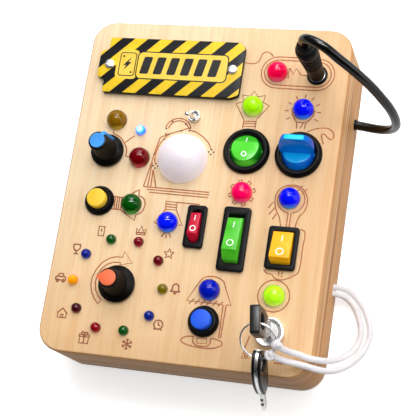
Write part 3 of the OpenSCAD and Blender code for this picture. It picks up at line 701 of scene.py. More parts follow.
def stripedPrint():
    # acrylic sheet printed on its face: flat strong colours under a satin skin
    finish, tree, shader = newFinish("printedAcrylic", plate["yellow"], 0.42, Specular_IOR_Level=0.15)
    spot = addNode(tree, "ShaderNodeTexCoord")
    split = splitAxes(tree, spot.outputs["Object"])
    slant = calculate(tree, "SUBTRACT", split["X"], split["Y"])
    moved = calculate(tree, "SUBTRACT", slant, plate["shift"] * mm)
    wrapped = calculate(tree, "WRAP", moved, plate["period"] * mm, 0.0)
    second = calculate(tree, "GREATER_THAN", wrapped, plate["period"] / 2 * mm)
    stripes = mixColours(tree, second, linear(plate["yellow"]), linear(plate["black"]))
    speck = stretchedNoise(tree, (2.5, 2.5, 2.5), 3)
    speckTone = colourRamp(tree, speck, [(0.3, "#F2F2F2"), (0.6, "#FFFFFF")])
    inked = mixColours(tree, 1.0, stripes, speckTone, "MULTIPLY")
    face = calculate(tree, "GREATER_THAN", splitAxes(tree, spot.outputs["Normal"])["Z"], 0.9)
    sided = mixColours(tree, face, linear("#141416"), inked)
    tree.links.new(sided, shader.inputs["Base Color"])
    addBump(tree, shader, stretchedNoise(tree, (0.5, 0.5, 0.5)), 0.05, 0.03)
    return finish


inkBlack = mouldedPlastic(
    "printedBlackInk", plate["black"], "#16161A", 0.4, 0.6, 0.05, Specular_IOR_Level=0.22,
)
inkYellow = mouldedPlastic("printedYellowInk", plate["yellow"], "#F8CB22", 0.38, 0.6, 0.05)

cover = cutSheet("coverPlate", plate["outline"], plate["low"], plate["high"])
softenEdges(roundUprights(cover, 1.1, 5), 0.3)
dress(cover, stripedPrint(), "board", "plate_print", "cover_plate")


def offsetBox(box, gap):
    (x0, y0), (x1, y1) = box
    return (x0 - gap, y0 - gap), (x1 + gap, y1 + gap)


# sheets of ink, each a little higher than the one under it
for area, gap, radius, low, finish in (
    ("card", 2.0, 2.6, 43.0, inkYellow), ("card", 0.5, 1.6, 43.03, inkBlack),
    ("card", 0.0, 1.2, 43.06, inkYellow),
    ("strip", 1.6, 2.8, 43.0, inkBlack), ("strip", 1.0, 2.4, 43.03, inkYellow),
):
    outline = roundedOutline(*offsetBox(plate[area], gap), radius)
    sheet = cutSheet(area + "Print", outline, low - 0.3, low + 0.03)
    dress(sheet, finish, "board", "plate_print")
bars = {"left": -2.4, "right": 2.2, "slope": 1.8, "foot": 58.4, "head": 67.8}
for x in plate["bars"]:
    left, right, slope = x + bars["left"], x + bars["right"], bars["slope"]
    foot, head = bars["foot"], bars["head"]
    corners = [(left, foot), (right, foot), (right + slope, head), (left + slope, head)]
    bar = roundUprights(cutSheet("chargeBar", corners, 42.8, 43.1), 0.8, 4)
    dress(bar, inkBlack, "board", "plate_print")
boltOutline = [(-48.2, 59.7), (-44.1, 64.6), (-45.9, 64.3), (-44.6, 67.4), (-48.8, 62.4), (-46.9, 62.8)]
dress(cutSheet("boltSign", boltOutline, 42.8, 43.13), inkBlack, "board", "plate_print")
for at in ((-48.9, 67.6), (-43.9, 58.9)):
    dress(addPeg("dotSign", at, 0.55, 42.8, 43.13, 20), inkBlack, "board", "plate_print")

# pan head screws with a cross recess hold the plate
screwOutline = [
    (0, 31), (1.0, 31.4), (1.35, 33), (1.35, 43), (2.6, 43), (2.55, 43.5), (2.2, 43.95), (1.5, 44.25),
    (0, 44.35),
]
model = spinShape("screwModel", screwOutline, steps=48, edge=0.08)
for turn in (0, 90):
    arm = addBlock("crossArm", (0, 0, 44.2), (2.9, 0.62, 1.3))
    softenEdges(arm, 0.12)
    combine(model, place(arm, pose((0, 0, 0), ("Z", turn))))
for number, at in enumerate(plate["screws"]):
    screw = placeCopy(model, "plateScrew%d" % (number + 1), (at[0], at[1], 0), 20 + 25 * number)
    dress(screw, brightZinc, "board", "screw_steel", "plate_screws")
remove(model)
print("cover plate made")


def scorchedPine(name, colours):
    # burned lines: laser-scorched pine, brown and a little uneven
    finish, tree, shader = newFinish(name, colours[1], 0.65)
    patch = stretchedNoise(tree, (1.6, 1.6, 1.6), 3)
    tone = colourRamp(tree, patch, list(zip((0.33, 0.5, 0.7), colours)))
    tree.links.new(tone, shader.inputs["Base Color"])
    addBump(tree, shader, patch, 0.2, 0.05)
    return finish


scorched = scorchedPine("laserScorchedPine", ("#8C3C00", "#B25804", "#CC7612"))
signScorch = scorchedPine("deepLaserScorchedPine", ("#743000", "#984600", "#B46008"))


# the strokes of a drawing, each a kind and its points
def straight(*points):
    return "straight", points


def curved(*points):
    return "smooth", points


def shape(*points):
    return "shape", points


def loop(*points):
    return "loop", points


def circle(centre, radius, count=12):
    return loop(*arc(centre, radius, 0, 360 - 360 / count, count - 1))


def pairs(*ends):
    return [straight(*ends[k:k + 2]) for k in range(0, len(ends), 2)]


def stadium(radius):
    return arc((53.2, 63.6), radius, -90, 90, 10) + arc((32.6, 63.9), radius, 90, 270, 10)


lineArt = [  # outlines round the lamps and switches
    curved(
        (15.2, 68.3), (17.2, 68), (20.5, 68.2), (22.1, 69.4), (22.8, 71.3), (23.8, 73.8), (25.6, 74.6),
        (27.5, 74), (29.4, 72.2),
    ),
    shape(*stadium(8.4)), shape(*stadium(6.7)),
    straight((38.6, 66.4), (40.7, 63.2), (41.9, 66.5), (44.6, 63.1), (47.6, 62.9)),
    straight(
        (19.1, 37.6), (13.8, 46), (17.3, 47.4), (16.5, 50.9), (20.5, 50.4), (22.2, 53.2), (24.5, 50.3),
        (28.2, 51.3), (27.6, 47.5), (31, 45.8), (25.4, 38.3),
    ),
    curved((46.2, 34.8), (45.9, 37.8), (44.2, 40.4), (43, 43), (42.6, 45.5)),
    curved((50.2, 34.8), (50.6, 37.8), (52.6, 40.2), (53.9, 42.6), (54.2, 45)),
    curved(
        (51.8, 33.5), (55.2, 35), (59.5, 35.9), (62.7, 35.5), (64.9, 33.3), (65.1, 31.5), (64.2, 30.3),
        (62.3, 31.1), (60.1, 32.8), (59.2, 32.4), (59.4, 31), (60.6, 27.6),
    ),
    curved(
        (-48.3, 26), (-47.1, 25.7), (-44.2, 24.2), (-41.7, 21.5), (-39.9, 18.5), (-39.5, 16.4), (-39.6, 14.4),
    ),
    curved(*arc((-14.3, 29.4), 7, 165, 18, 8)), curved(*arc((-14.1, 29.6), 5.5, 168, 20, 8)),
    curved((-23, 25.5), (-19, 27.6), (-14.7, 29.2), (-8.3, 31.7)),
    curved((-8.4, 30.5), (-5.2, 29.8), (-1.9, 28.2), (0.9, 26.1), (3, 24), (4.4, 21.3)),
    curved((-19, 27.4), (-21.1, 24.7), (-22.8, 21.5), (-23.8, 18.1), (-24, 15), (-23.7, 12.5)),
    curved((-23, 25.5), (-23.4, 23.2), (-24.2, 19.1), (-24.9, 15.5), (-25.2, 12.2)),
    curved((-37.6, -7.4), (-33.3, -5.2), (-29.2, -2.6)),
    curved((-29, -5.6), (-26.9, -6.5), (-25.3, -8.3), (-25, -11), (-26.2, -14.2), (-28.8, -15.7)),
    straight((-28.8, -15.7), (-29.1, -18.7), (-37.4, -13.7)),
    shape((-14.3, -7.5), (-8.4, -7.7), (-8.2, -11.6), (-13.9, -11.6)),
    straight((-13.9, -11.7), (-18.6, -18.9), (-17, -19.2)), straight((-8.2, -11.6), (-4, -19), (-5.9, -19.2)),
    shape(
        (-40.5, -62.3), (-42.8, -59.9), (-44.8, -56.7), (-45.8, -53.2), (-45.8, -49.4), (-44.5, -45.4),
        (-42, -41.6), (-38.6, -39), (-34.9, -37.9), (-31.8, -38), (-31.2, -34.9), (-26.4, -40.4),
        (-32.5, -41.8), (-32.4, -40.7), (-36, -40.8), (-39.1, -42.1), (-41.6, -44.6), (-43.3, -48),
        (-43.7, -51.6), (-42.9, -55.4), (-41.1, -58.4), (-39, -60.3),
    ),
    curved(
        (45.2, -15.2), (43.9, -10.8), (41.8, -7.1), (40.7, -2.7), (41.2, 1.4), (43.8, 4.4), (47.7, 5.7),
        (52.2, 5), (55.4, 2), (56.7, -2.1), (56, -6.6), (53.4, -10.4), (52.3, -15.2),
    ),
    curved(*arc((48.6, -1.7), 6.7, 262, -78, 18)),
    curved(
        (55, -16), (57, -16.7), (57.7, -18.6), (57.4, -24.3), (57.3, -35), (56.7, -37.6), (54.5, -39.2),
        (51.6, -40.9), (48.6, -41.6), (46, -41.1), (44.1, -39.3), (41.9, -39), (40, -37.4),
    ),
    straight((22.4, -56.3), (4.3, -56.2), (9.6, -45.9)),
    curved((9.6, -45.9), (11.5, -44), (14.8, -43.2), (18.6, -43.6), (21.4, -45.1)),
    straight((21.4, -45.1), (26.6, -56.3), (24.2, -56.3)),
    curved(
        (10.6, -73.1), (7, -73.6), (4.7, -75.5), (6.5, -76.9), (9.9, -77.7), (15.1, -78.2), (19.5, -78),
        (23.1, -77), (25.2, -75.2), (23.4, -73.7), (19.3, -73.1),
    ),
    curved((10.6, -73.1), (10.7, -75.7), (12.2, -77), (15, -77.4), (18, -77), (19.2, -75.6), (19.1, -73.1)),
    shape((12.5, -73.8), (12.7, -76.1), (17.4, -76), (17.2, -73.6)), circle((46.7, -49.7), 7.7),
    shape((36, -77.7), (35.6, -80.7), (39.3, -80.7)), circle((37.6, -79.2), 0.8, 6),
    straight((51.6, -80.1), (53, -78.9), (54.4, -80.1)),
]
lineArt += pairs(  # rays, rungs and other short strokes, by their two ends
    (43.9, 51.7), (44.9, 50), (48.6, 52.9), (48.5, 51.1), (53, 51.5), (51.8, 49.8), (56.3, 48.2),
    (54.5, 47.2), (57.3, 43.8), (55.3, 43.8), (56.4, 39.2), (54.4, 40.3), (40.5, 48.2), (42.3, 47.4),
    (39.1, 43.9), (41.1, 43.9), (40.4, 39.3), (42.2, 40.4), (-48.4, 27.6), (-48.3, 26), (-41.4, 21.5),
    (-36.7, 25.7), (-39.6, 14.4), (-37.2, 14.3), (-41.1, -7.3), (-40.8, -13.6), (-40, -7.3), (-39.7, -13.6),
    (-38.9, -7.3), (-38.6, -13.6), (-37.7, -7.4), (-37.4, -13.6), (-12.3, -23.6), (-13.7, -25.8),
    (-11.3, -24), (-11.2, -26.3), (-10, -23.6), (-8.9, -25.8), (40, -3.4), (37.9, -6.8), (41.1, -6.2),
    (38.7, -9.9), (42.4, -9), (40.6, -12.4), (53.3, 5.8), (50.8, 2.6), (55.7, 4.3), (53.6, 1.6), (38.4, 60.8),
    (38.4, 66.4), (19.1, 37.4), (19, 33.2), (25.4, 37.8), (25.3, 33.4), (18.8, 36.9), (25.6, 37.2),
    (19, 35.7), (25.5, 36), (19.1, 34.3), (25.3, 34.6), (45.8, 38.1), (50.6, 38.1), (49.4, 38), (48, 35),
    (-25.2, 12.3), (-27.4, -0.8), (-24.9, 12.4), (-25.2, -0.7), (-23.9, 8.4), (-23.5, -0.7), (-23.8, 8.2),
    (-20.7, -0.8), (-27.4, -0.8), (7.2, -1.2), (-25.4, -2.1), (7.3, -2.5), (-23.8, -3.5), (7.1, -3.9),
    (-42.2, -7.1), (-37.6, -7.4), (-42.2, -13.7), (-37.3, -13.7), (-29.2, -2.6), (-29, -5.6), (-14.2, -8.9),
    (-8.4, -9), (-14.1, -10.2), (-8.3, -10.3), (-8.6, -7.6), (3.3, -7.8), (48, -8.3), (48, -15.5),
    (49.5, -8.3), (49.4, -15.5), (47.6, -37.4), (47.6, -39.6), (49.2, -37.4), (49.2, -40.4), (22.8, -56.4),
    (23.1, -72.7), (24.3, -56.4), (24, -72.6), (38, -69.8), (36.2, -76.4), (51.1, -81.4), (55.7, -81.3),
    *[(6.9 + 2.9 * k + 1.1 * side, -56.2 + 1.3 * side) for k in range(6) for side in (1, -1)],
)
tooth = [(5.5, -9), (6.7, -7), (6.7, 7), (5.5, 9)]
for turn in range(15, 375, 45):  # teeth of the gear round the pink lamp
    lineArt.append(straight(*[around((23.65, -0.1), reach, turn + side) for reach, side in tooth]))
burned = {"lines": 0.66, "signs": 0.8}  # widths of the strokes
lineWork = drawLines("burnedLines", lineArt, burned["lines"], board["thickness"])
dress(lineWork, scorched, "board", "wood_front", smooth=60)

# little signs by the small lamps, each drawn about its own middle
signs = [
    ((-45.3, -25.6), [
        shape((-1.5, 2.4), (1.5, 2.4), (1.5, -2.4), (-1.5, -2.4)), straight((0, 1.4), (0, -0.3)),
        straight((0, -1.2), (0, -1.4)),
    ]),
    ((-24.6, -23.6), [
        shape((-2.2, -2), (2.2, -2), (2.6, 1), (1.1, -0.2), (0, 2.4), (-1.1, -0.2), (-2.6, 1)),
        straight((-2.1, -1), (2.1, -1)),
    ]),
    ((-8.3, -34.0), [
        shape(*[around((0, 0), 2.7 if k % 2 == 0 else 1.2, 90 + 36 * k) for k in range(10)]),
    ]),
    ((-2.1, -50.8), [
        curved((-2.4, -1.6), (-1.6, -0.6), (-1.5, 1), (0, 2.2), (1.5, 1), (1.6, -0.6), (2.4, -1.6)),
        straight((-2.4, -1.6), (2.4, -1.6)), circle((0, -2.3), 0.45, 6),
    ]),
    ((-7.8, -69.4), [
        circle((0, 0), 2.2), straight((0, 1.3), (0, 0), (0.9, -0.5)), straight((-1.5, -2), (-2, -2.7)),
        straight((1.5, -2), (2, -2.7)),
    ]),
    ((-22.0, -80.5), [
        straight(around((0, 0), 2.8, 30 + 60 * k), (0, 0)) for k in range(6)
    ] + [
        straight(*[around((0, 0), far, side + 60 * k) for far, side in ((2.5, 16), (1.5, 30), (2.5, 44))])
        for k in range(6)
    ]),
    ((-44.4, -79.9), [
        shape((-2.3, -2.6), (2.3, -2.6), (2.3, 0.7), (-2.3, 0.7)),
        shape((-2.7, 0.7), (2.7, 0.7), (2.7, 1.7), (-2.7, 1.7)), straight((0, -2.6), (0, 1.7)),
        loop((0, 1.8), (-1.2, 2.9), (-1.6, 2.1)), loop((0, 1.8), (1.2, 2.9), (1.6, 2.1)),
    ]),
    ((-58.1, -68.9), [
        shape((-2.2, -2.2), (2.2, -2.2), (2.2, 0.4), (0, 2.5), (-2.2, 0.4)),
        shape((-0.6, -2.2), (0.6, -2.2), (0.6, -0.6), (-0.6, -0.6)), straight((-2.7, 0), (0, 2.6), (2.7, 0)),
    ]),
    ((-62.3, -51.0), [
        straight(
            (-2.6, -1.4), (-2.6, 0.1), (-1.7, 0.4), (-1, 1.9), (1, 1.9), (1.7, 0.4), (2.6, 0.1), (2.6, -1.4),
            (-2.6, -1.4),
        ),
        circle((-1.5, -1.7), 0.6, 6), circle((1.5, -1.7), 0.6, 6), straight((-1.7, 0.4), (1.7, 0.4)),
    ]),
    ((-56.7, -35.9), [
        curved((-1.8, 2.4), (-1.5, 0.2), (0, -0.8), (1.5, 0.2), (1.8, 2.4)),
        straight((-1.8, 2.4), (1.8, 2.4)), straight((0, -0.8), (0, -2.3)),
        straight((-1.2, -2.4), (1.2, -2.4)),
    ]),
]
signLines = [
    (kind, [(at[0] + x, at[1] + y) for x, y in points]) for at, strokes in signs for kind, points in strokes
]
signWork = drawLines("burnedSigns", signLines, burned["signs"], board["thickness"])
dress(signWork, signScorch, "board", "wood_front", smooth=60)
dots = [
    (-17.9, 34.6), (-20.5, 30.6), (-20.3, 27.7), (-18.8, 27.5), (-20.9, 24.8), (-10.6, 33.4), (-8, 31.6),
    (-8.3, 30.3), (-12.3, 30),
]
dots += [around(centre, 1.25, 90 * k) for centre in ((4.8, 19.7), (-23, 10.5)) for k in range(4)]
dotOutline = [(0, 39.98), (0.55, 39.98), (0.4, 40.06), (0, 40.08)]
studs = joinAll("burnedDots", [spinShape("dot", dotOutline, at, 10) for at in dots])
darkScorch = mouldedPlastic("deepScorchedPine", "#5A2C10", "#3E1C08", 0.7, 0.5, 0.2)
dress(studs, darkScorch, "board", "wood_front", smooth=60)
print("burned lines drawn")


def halfway(first, second):
    parts = [(int(first[k:k + 2], 16), int(second[k:k + 2], 16)) for k in (1, 3, 5)]
    return "#" + "".join("%02X" % ((one + other) // 2) for one, other in parts)


def paintGatheredLight(tree, normal, tone, rim, way, low, high, most):
    # painted light: a crescent on the side away from the window is mixed towards a bright colour, as light
    # leaving a clear body would brighten it
    crescent = mapRange(tree, facingFactor(tree, normal, way), low, high, 0.0, most)
    return mixColours(tree, crescent, tone, linear(rim))


towardCamera = (0.28, -0.25, 0.927)


def tintedEpoxy(name, colour, deep, bright, glow=0.0):
    # lamps: clear tinted epoxy, cast in a polished mould, with painted shade that deepens its colour at the
    # edge as seen from the camera and painted light that brightens a crescent on one side
    finish, tree, shader = newFinish(
        "castEpoxy_" + name, colour, 0.06,
        Specular_IOR_Level=0.12, Coat_Weight=1.0, Coat_Roughness=0.02, Coat_IOR=1.22,
    )
    normal = addNode(tree, "ShaderNodeTexCoord").outputs["Normal"]
    # painted shade: deep at the edge as seen from the camera, with one faint inner ring
    tones = [(0.25, deep), (0.5, colour), (0.8, colour), (0.86, halfway(colour, deep)), (0.9, colour)]
    tone = colourRamp(tree, facingFactor(tree, normal, towardCamera), tones + [(1.0, colour)])
    withPaintedCrescent = paintGatheredLight(tree, normal, tone, bright, (0.12, -0.96, -0.25), 0.6, 1.0, 0.6)
    tree.links.new(withPaintedCrescent, shader.inputs["Base Color"])
    shine = withPaintedCrescent
    if glow:
        shine = colourRamp(tree, splitAxes(tree, normal)["Z"], [(0.2, deep), (0.6, colour), (0.9, bright)])
    else:
        addBump(tree, shader, stretchedNoise(tree, (2, 2, 2)), 0.03, 0.05)
    # the lit lamp glows for real; the unlit ones get a faint painted glow in their painted colours
    tree.links.new(shine, shader.inputs["Emission Color"])
    shader.inputs["Emission Strength"].default_value = glow or 0.28
    return finish


lampSizes = {"big": 5.25, "small": 2.5, "shoulder": 40.8}  # radii, and the height where the round top starts


def lampOutline(radius):
    foot = [(0, 35.5), (radius + 0.5, 35.5), (radius + 0.5, 36), (radius, 36)]
    shoulder = lampSizes["shoulder"]
    return foot + arc((0, shoulder), radius, 0, 82.5, 11) + [(0, shoulder + radius)]


lensSlots = {"amber": "amber", "ruby": "ruby", "coral": "coral", "pink": "coral", "green": "green"}
model = spinShape("lampModel", lampOutline(lampSizes["big"]), steps=48)
for name, (at, colour, deep, bright) in bigLamps.items():
    lamp = placeCopy(model, "lamp_" + name + "Lens", (at[0], at[1], 0))
    slotName = "lens_" + lensSlots.get(name, "blue" if "blue" in name else "lime")
    dress(lamp, tintedEpoxy(name, colour, deep, bright), "board", slotName, "lamp_" + name, smooth=50)
remove(model)
model = spinShape("smallLampModel", lampOutline(lampSizes["small"]), steps=32)
for number, (name, at, colour, deep, bright) in enumerate(smallLamps):
    lamp = placeCopy(model, "smallLamp%02d" % number, (at[0], at[1], 0))
    finish = tintedEpoxy(name, colour, deep, bright, 1.1 if name == "lit" else 0.0)
    dress(lamp, finish, "board", "lens_small", "small_lamps", smooth=50)
remove(model)

# the white dome: opal polycarbonate, moulded, that lets light soften at its edge, with a faint painted glow
# that evens it out
opal = mouldedPlastic(
    "mouldedOpalPolycarbonate", "#D8D3DA", "#D2CCD5", 0.3, 3.0, 0.02,
    Subsurface_Weight=0.3, Subsurface_Scale=0.004, Emission_Color=linear("#FFF0F0"), Emission_Strength=0.3,
)
domeOutline = [(0, 34), (9.94, 34), (9.94, 40)] + arc((0, 39.2), 12.9, 3.6, 90, 22)[:-1] + [(0, 52.1)]
dress(spinShape("whiteDome", domeOutline, domeAt, 72), opal, "board", "dome_white", "dome_lens", smooth=50)
print("lamps made")


def glossyPolycarbonate(name, colour, shade):
    # dyed polycarbonate, moulded and glossy and a little translucent, with a faint painted glow of its own
    # colour that keeps it bright
    return mouldedPlastic(
        name, colour, shade, 0.26, 1.5, 0.04, Specular_IOR_Level=0.15,
        Subsurface_Weight=0.12, Subsurface_Scale=0.002, Emission_Color=linear(colour), Emission_Strength=0.18,
    )


def clearPolycarbonate(name, side, middle, top, rim):
    # dyed clear polycarbonate, polished, with painted shade and light: deep down its sides, lighter on faces
    # that look up, a painted crescent of light at the lower edge and a faint painted glow
    finish, tree, shader = newFinish("polishedPolycarbonate_" + name, middle, 0.15, Specular_IOR_Level=0.25)
    normal = addNode(tree, "ShaderNodeTexCoord").outputs["Normal"]
    # painted shade and light: darker where the surface faces sideways, lighter where it faces up
    tone = colourRamp(tree, splitAxes(tree, normal)["Z"], [(0.3, side), (0.8, middle), (0.96, top)])
    withPaintedCrescent = paintGatheredLight(tree, normal, tone, rim, (0.1, -0.98, -0.15), 0.55, 0.85, 0.9)
    for socket in ("Base Color", "Emission Color"):
        tree.links.new(withPaintedCrescent, shader.inputs[socket])
    # a faint painted glow in the same painted colours
    shader.inputs["Emission Strength"].default_value = 0.2
    addBump(tree, shader, stretchedNoise(tree, (4, 4, 4)), 0.04, 0.05)
    return finish


markWhite = mouldedPlastic("printedWhiteMark", "#F8F8F6", "#EDEDEB", 0.4, 0.5, 0.05)
tiltTurn = 14
sideways = Matrix(((0, 0, 1, 0), (1, 0, 0, 0), (0, 1, 0, 0), (0, 0, 0, 1)))  # a sheet stood up along X
for name, switch in rockers.items():
    x, y = switch["at"]
    openX, openY = switch["open"]
    bezel = addBlock("bezel", (x, y, 41), (switch["bezel"][0], switch["bezel"][1], 2))
    roundUprights(bezel, 1.6, 5)
    opening = addBlock("opening", (x, y, 41), (openX, openY, 4))
    combine(bezel, roundUprights(opening, switch["corner"]))
    softenEdges(bezel, 0.45, 3)
    barrel = addBlock("barrel", (x, y, 30.1), (openX + 3, openY + 3, 20.2))
    opening = addBlock("opening", (x, y, 37), (openX, openY, 10))
    combine(barrel, roundUprights(opening, switch["corner"]))
    pinReach = openX / 2 + 1
    for wall in (bezel, barrel):
        combine(wall, addAxle("pinHole", (x, y, pivotZ), pinHole, pinReach))
    legs = [addBlock("leg", (x, y + side * openY / 4, 17.1), (3, 0.8, 6.2)) for side in (-1, 1)]
    housing = joinAll(name + "SwitchHousing", [bezel, barrel] + legs)
    dress(housing, blackAbs, "board", "black_plastic", name + "_housing")
    (topY, topZ), (footY, footZ) = switch["top"], switch["foot"]
    depthTurn = math.degrees(math.asin(switch["depth"] / footY))
    outline = [(footY, footZ), (topY, topZ), (-topY, topZ), (-footY, footZ)]
    outline += arc((0, 0), footY, 180, 180 + depthTurn, 3) + arc((0, 0), footY, 360 - depthTurn, 360, 3)
    tilted = pose((x, y, pivotZ), ("X", -tiltTurn))
    half = openX / 2 - 0.2
    cap = place(cutSheet("cap", outline, -half, half), sideways)
    ends = addBlock("ends", (0, 0, 2), (2 * half, 2 * footY, 14))
    combine(cap, roundUprights(ends, switch["corner"] - 0.2), "INTERSECT")
    place(softenEdges(cap, 0.4, 3, 25), tilted)
    cap = joinAll(name + "Rocker", [cap, addAxle("pin", (x, y, pivotZ), pinRadius, half + 1.1)])
    rockerFinish = glossyPolycarbonate("dyedPolycarbonate_" + name, *switch["colours"])
    body = name + "_rocker_body"
    dress(cap, rockerFinish, body, name + "_plastic", name + "_rocker")
    lineY, ringAt = switch["line"], switch["ring"]
    strokes = [straight((0, lineY[0]), (0, lineY[1])), circle((0, ringAt[0]), ringAt[1])]
    marks = drawLines(name + "Marks", strokes, 0.5, topZ)
    dress(place(marks, tilted), markWhite, body, "dome_white", smooth=60)
print("rocker switches made")


# round switches: a stepped bezel, a rocking button in one and a finned paddle in the other
bezelOutline = [
    (0, 20), (9.95, 20), (9.95, 40), (11.8, 40), (11.8, 41.2), (10.6, 43), (9.3, 43), (9.3, 41.6),
    (8.3, 41.6), (8.3, 32), (0, 32),
]
for name, (x, y) in roundSwitches.items():
    housing = spinShape("housing", bezelOutline, (x, y), 72)
    softenEdges(housing, 0.25)
    combine(housing, addAxle("pinHole", (x, y, pivotZ), pinHole, 9.3))
    legs = [addBlock("leg", (x, y + side * 4, 17.1), (4.8, 0.8, 6.2)) for side in (-1, 1)]
    housing = joinAll(name + "SwitchBezel", [housing] + legs)
    dress(housing, blackAbs, "board", "black_plastic", name + "_housing")


def addBall(name, radius):
    deselectAll()
    bpy.ops.mesh.primitive_uv_sphere_add(segments=48, ring_count=24, radius=radius * mm, location=(0, 0, 0))
    bpy.context.object.name = name
    return bpy.context.object


x, y = roundSwitches["round"]
tilted = pose((x, y, pivotZ), ("X", -tiltTurn))
prismOutline = [(-9, -3.4), (9, -3.4), (9, 3), (6.9, 3.3), (3, 4.3), (-3, 4.3), (-6.9, 3.3), (-9, 3)]
prism = cutSheet("prism", prismOutline, -9, 9)
place(prism, sideways)
disc = combine(addBall("disc", 8.05), prism, "INTERSECT")
softenEdges(disc, 0.35, 3, 12)
place(disc, tilted)
disc = joinAll("roundRocker", [disc, addAxle("pin", (x, y, pivotZ), pinRadius, 9.2)])
# its colours: the painted shade of its sides, its middle, the painted light on its upward faces and at its
# lower edge
roundGreen = clearPolycarbonate("leaf", "#0A6C0E", "#1A9014", "#50CC34", "#6CF040")
dress(disc, roundGreen, "round_rocker_body", "green_plastic", "round_rocker")
for name, stroke, side in (
    ("roundLineMark", straight((0, -0.2), (0, 2.8)), 1), ("roundRingMark", circle((0, -1), 1.15), -1),
):
    marks = place(drawLines(name, [stroke], 0.5, 0), tilted @ pose((0, 3 * side, 4.3), ("X", -14.4 * side)))
    dress(marks, markWhite, "round_rocker_body", "dome_white", smooth=60)

x, y = roundSwitches["paddle"]
tilted = pose((x, y, pivotZ), ("X", -13))
ball = combine(addBall("ball", 8.05), addBlock("upperHalf", (0, 0, 0.3), (18, 18, 7.4)), "INTERSECT")
softenEdges(ball, 0.5, 3, 25)
finOutline = [
    (0, 2.4), (7.68, 2.4), (7.9, 3.2), (8.3, 4), (8.6, 6), (8.6, 7.5), (8.5, 9), (8.25, 10.6), (7.9, 12),
    (7.4, 13.3), (6.7, 14.5), (5.6, 15.6), (4.9, 16), (0, 16),
]
fin = spinShape("fin", finOutline, (0, 0), 72)
wedge = place(cutSheet("wedge", [(-1.3, 2.2), (3.2, 2.2), (3.2, 4), (1.6, 17), (-1.2, 17)], -9, 9), sideways)
combine(fin, wedge, "INTERSECT")
softenEdges(fin, 0.5, 3, 25)
paddle = place(joinAll("paddle", [ball, fin]), tilted)
paddle = joinAll("finPaddle", [paddle, addAxle("pin", (x, y, pivotZ), pinRadius, 9.2)])
# its colours: the painted shade of its sides, its middle, the painted light on its upward faces and at its
# lower edge
paddleBlue = clearPolycarbonate("sea", "#0048B4", "#0468C8", "#0A98DC", "#0478E0")
dress(paddle, paddleBlue, "paddle_body", "blue_plastic", "paddle")
tip = addBlock("finTip", (0, 0.25, 15.65), (9.9, 2.5, 0.8))
roundUprights(tip, 0.9, 5)
softenEdges(tip, 0.3, 3)
tipBlue = glossyPolycarbonate("dyedPolycarbonate_tip", "#10D4FF", "#08C0F0")
dress(place(tip, tilted), tipBlue, "paddle_body", "blue_plastic")
print("round switches made")


# push buttons: a flared bezel with a flat cap
buttonOutline = [
    (0, 19), (5.94, 19), (5.94, 40), (7.65, 40), (7.65, 41.2), (6.4, 43), (4.91, 43), (4.91, 26), (1.96, 26),
    (1.96, 24), (4.5, 24), (4.5, 20), (0, 20),
]
capOutline = [
    (0, 22.1), (3, 22.1), (3, 23.9), (1.9, 23.9), (1.9, 38), (4.85, 38), (4.85, 46.1), (4.76, 46.42),
    (4.5, 46.62), (4.15, 46.7), (0, 46.7),
]
capColours = {"yellow": ("#FFD646", "#FACB30"), "blue": ("#1E68F8", "#1858EC")}
for name, at in buttons.items():
    housing = spinShape(name + "ButtonBezel", buttonOutline, at, 64, 0.18)
    dress(housing, blackAbs, "board", "black_plastic", name + "_button_housing")
    cap = spinShape(name + "ButtonCap", capOutline, at, 64)
    capFinish = mouldedPlastic(
        "satinCapAbs_" + name, *capColours[name], 0.45, 0.5, 0.1, Specular_IOR_Level=0.15,
    )
    dress(cap, capFinish, name + "_button_body", name + "_plastic", name + "_button")
print("push buttons made")


# knobs: a flared skirt, a fluted grip and a coloured pointer cap
knobShapes = {
    "upper": [
        (0, 25), (3, 25), (3, 43), (6.2, 43), (6.2, 40.8), (8.6, 40.8), (8.6, 42.1), (8.3, 42.5),
        (5.95, 43.95), (5.6, 45), (4.95, 55.8), (4.75, 56.7), (4.3, 57), (0, 57),
    ],
    "lower": [
        (0, 25), (3, 25), (3, 43), (6.2, 43), (6.2, 40.8), (9.3, 40.8), (9.3, 42.1), (9, 42.5), (6.35, 43.95),
        (6, 45), (5, 54), (4.9, 54.4), (4.5, 54.7), (0, 54.7),
    ],
}
for name, outline in knobShapes.items():
    at = Vector(knobs[name])
    knob = spinShape(name + "Knob", outline, at, 72)

    def isFlute(centre):
        turn = math.degrees(math.atan2(centre.y - at.y, centre.x - at.x)) % 10
        return 46 < centre.z < 54 and (centre.xy - at).length > 4.5 and turn < 5

    pick(knob, "FACE", isFlute)
    bpy.ops.mesh.inset(thickness=0.07 * mm, depth=-0.24 * mm, use_individual=True)
    bpy.ops.object.mode_set(mode="OBJECT")
    softenEdges(knob, 0.12, 2, 40)
    dress(knob, knobBlack, name + "_knob_body", "black_plastic", name + "_knob")

at = knobs["upper"]
disc = spinShape("disc", [(0, 56.2), (3.85, 56.2), (3.85, 57.4), (3.65, 57.6), (0, 57.6)], at, 48)
barOutline = [(2, 16.2), (3.2, 16.2), (4.5, 14.4), (5.2, 5.5), (6.9, 5.5), (6, 15.7), (4.6, 17.4), (2, 17.58)]
bar = softenEdges(cutSheet("bar", barOutline, -1.1, 1.1), 0.25)
place(bar, pose((*at, 40), ("Z", 59), ("X", 90)))
skyBlue = mouldedPlastic("satinCapAbs_sky", "#46A6F6", "#3A98EC", 0.4, 0.6, 0.08, Specular_IOR_Level=0.2)
dress(joinAll("upperPointer", [disc, bar]), skyBlue, "upper_knob_body", "blue_plastic", "upper_knob_cap")
at = knobs["lower"]
touch = math.degrees(math.acos(4 / 5.9))
dropOutline = arc((0, 0), 4, touch, 360 - touch, 22) + [(5.6, -0.25), (5.6, 0.25)]
drop = softenEdges(cutSheet("lowerPointer", dropOutline, 53.9, 55.4), 0.3)
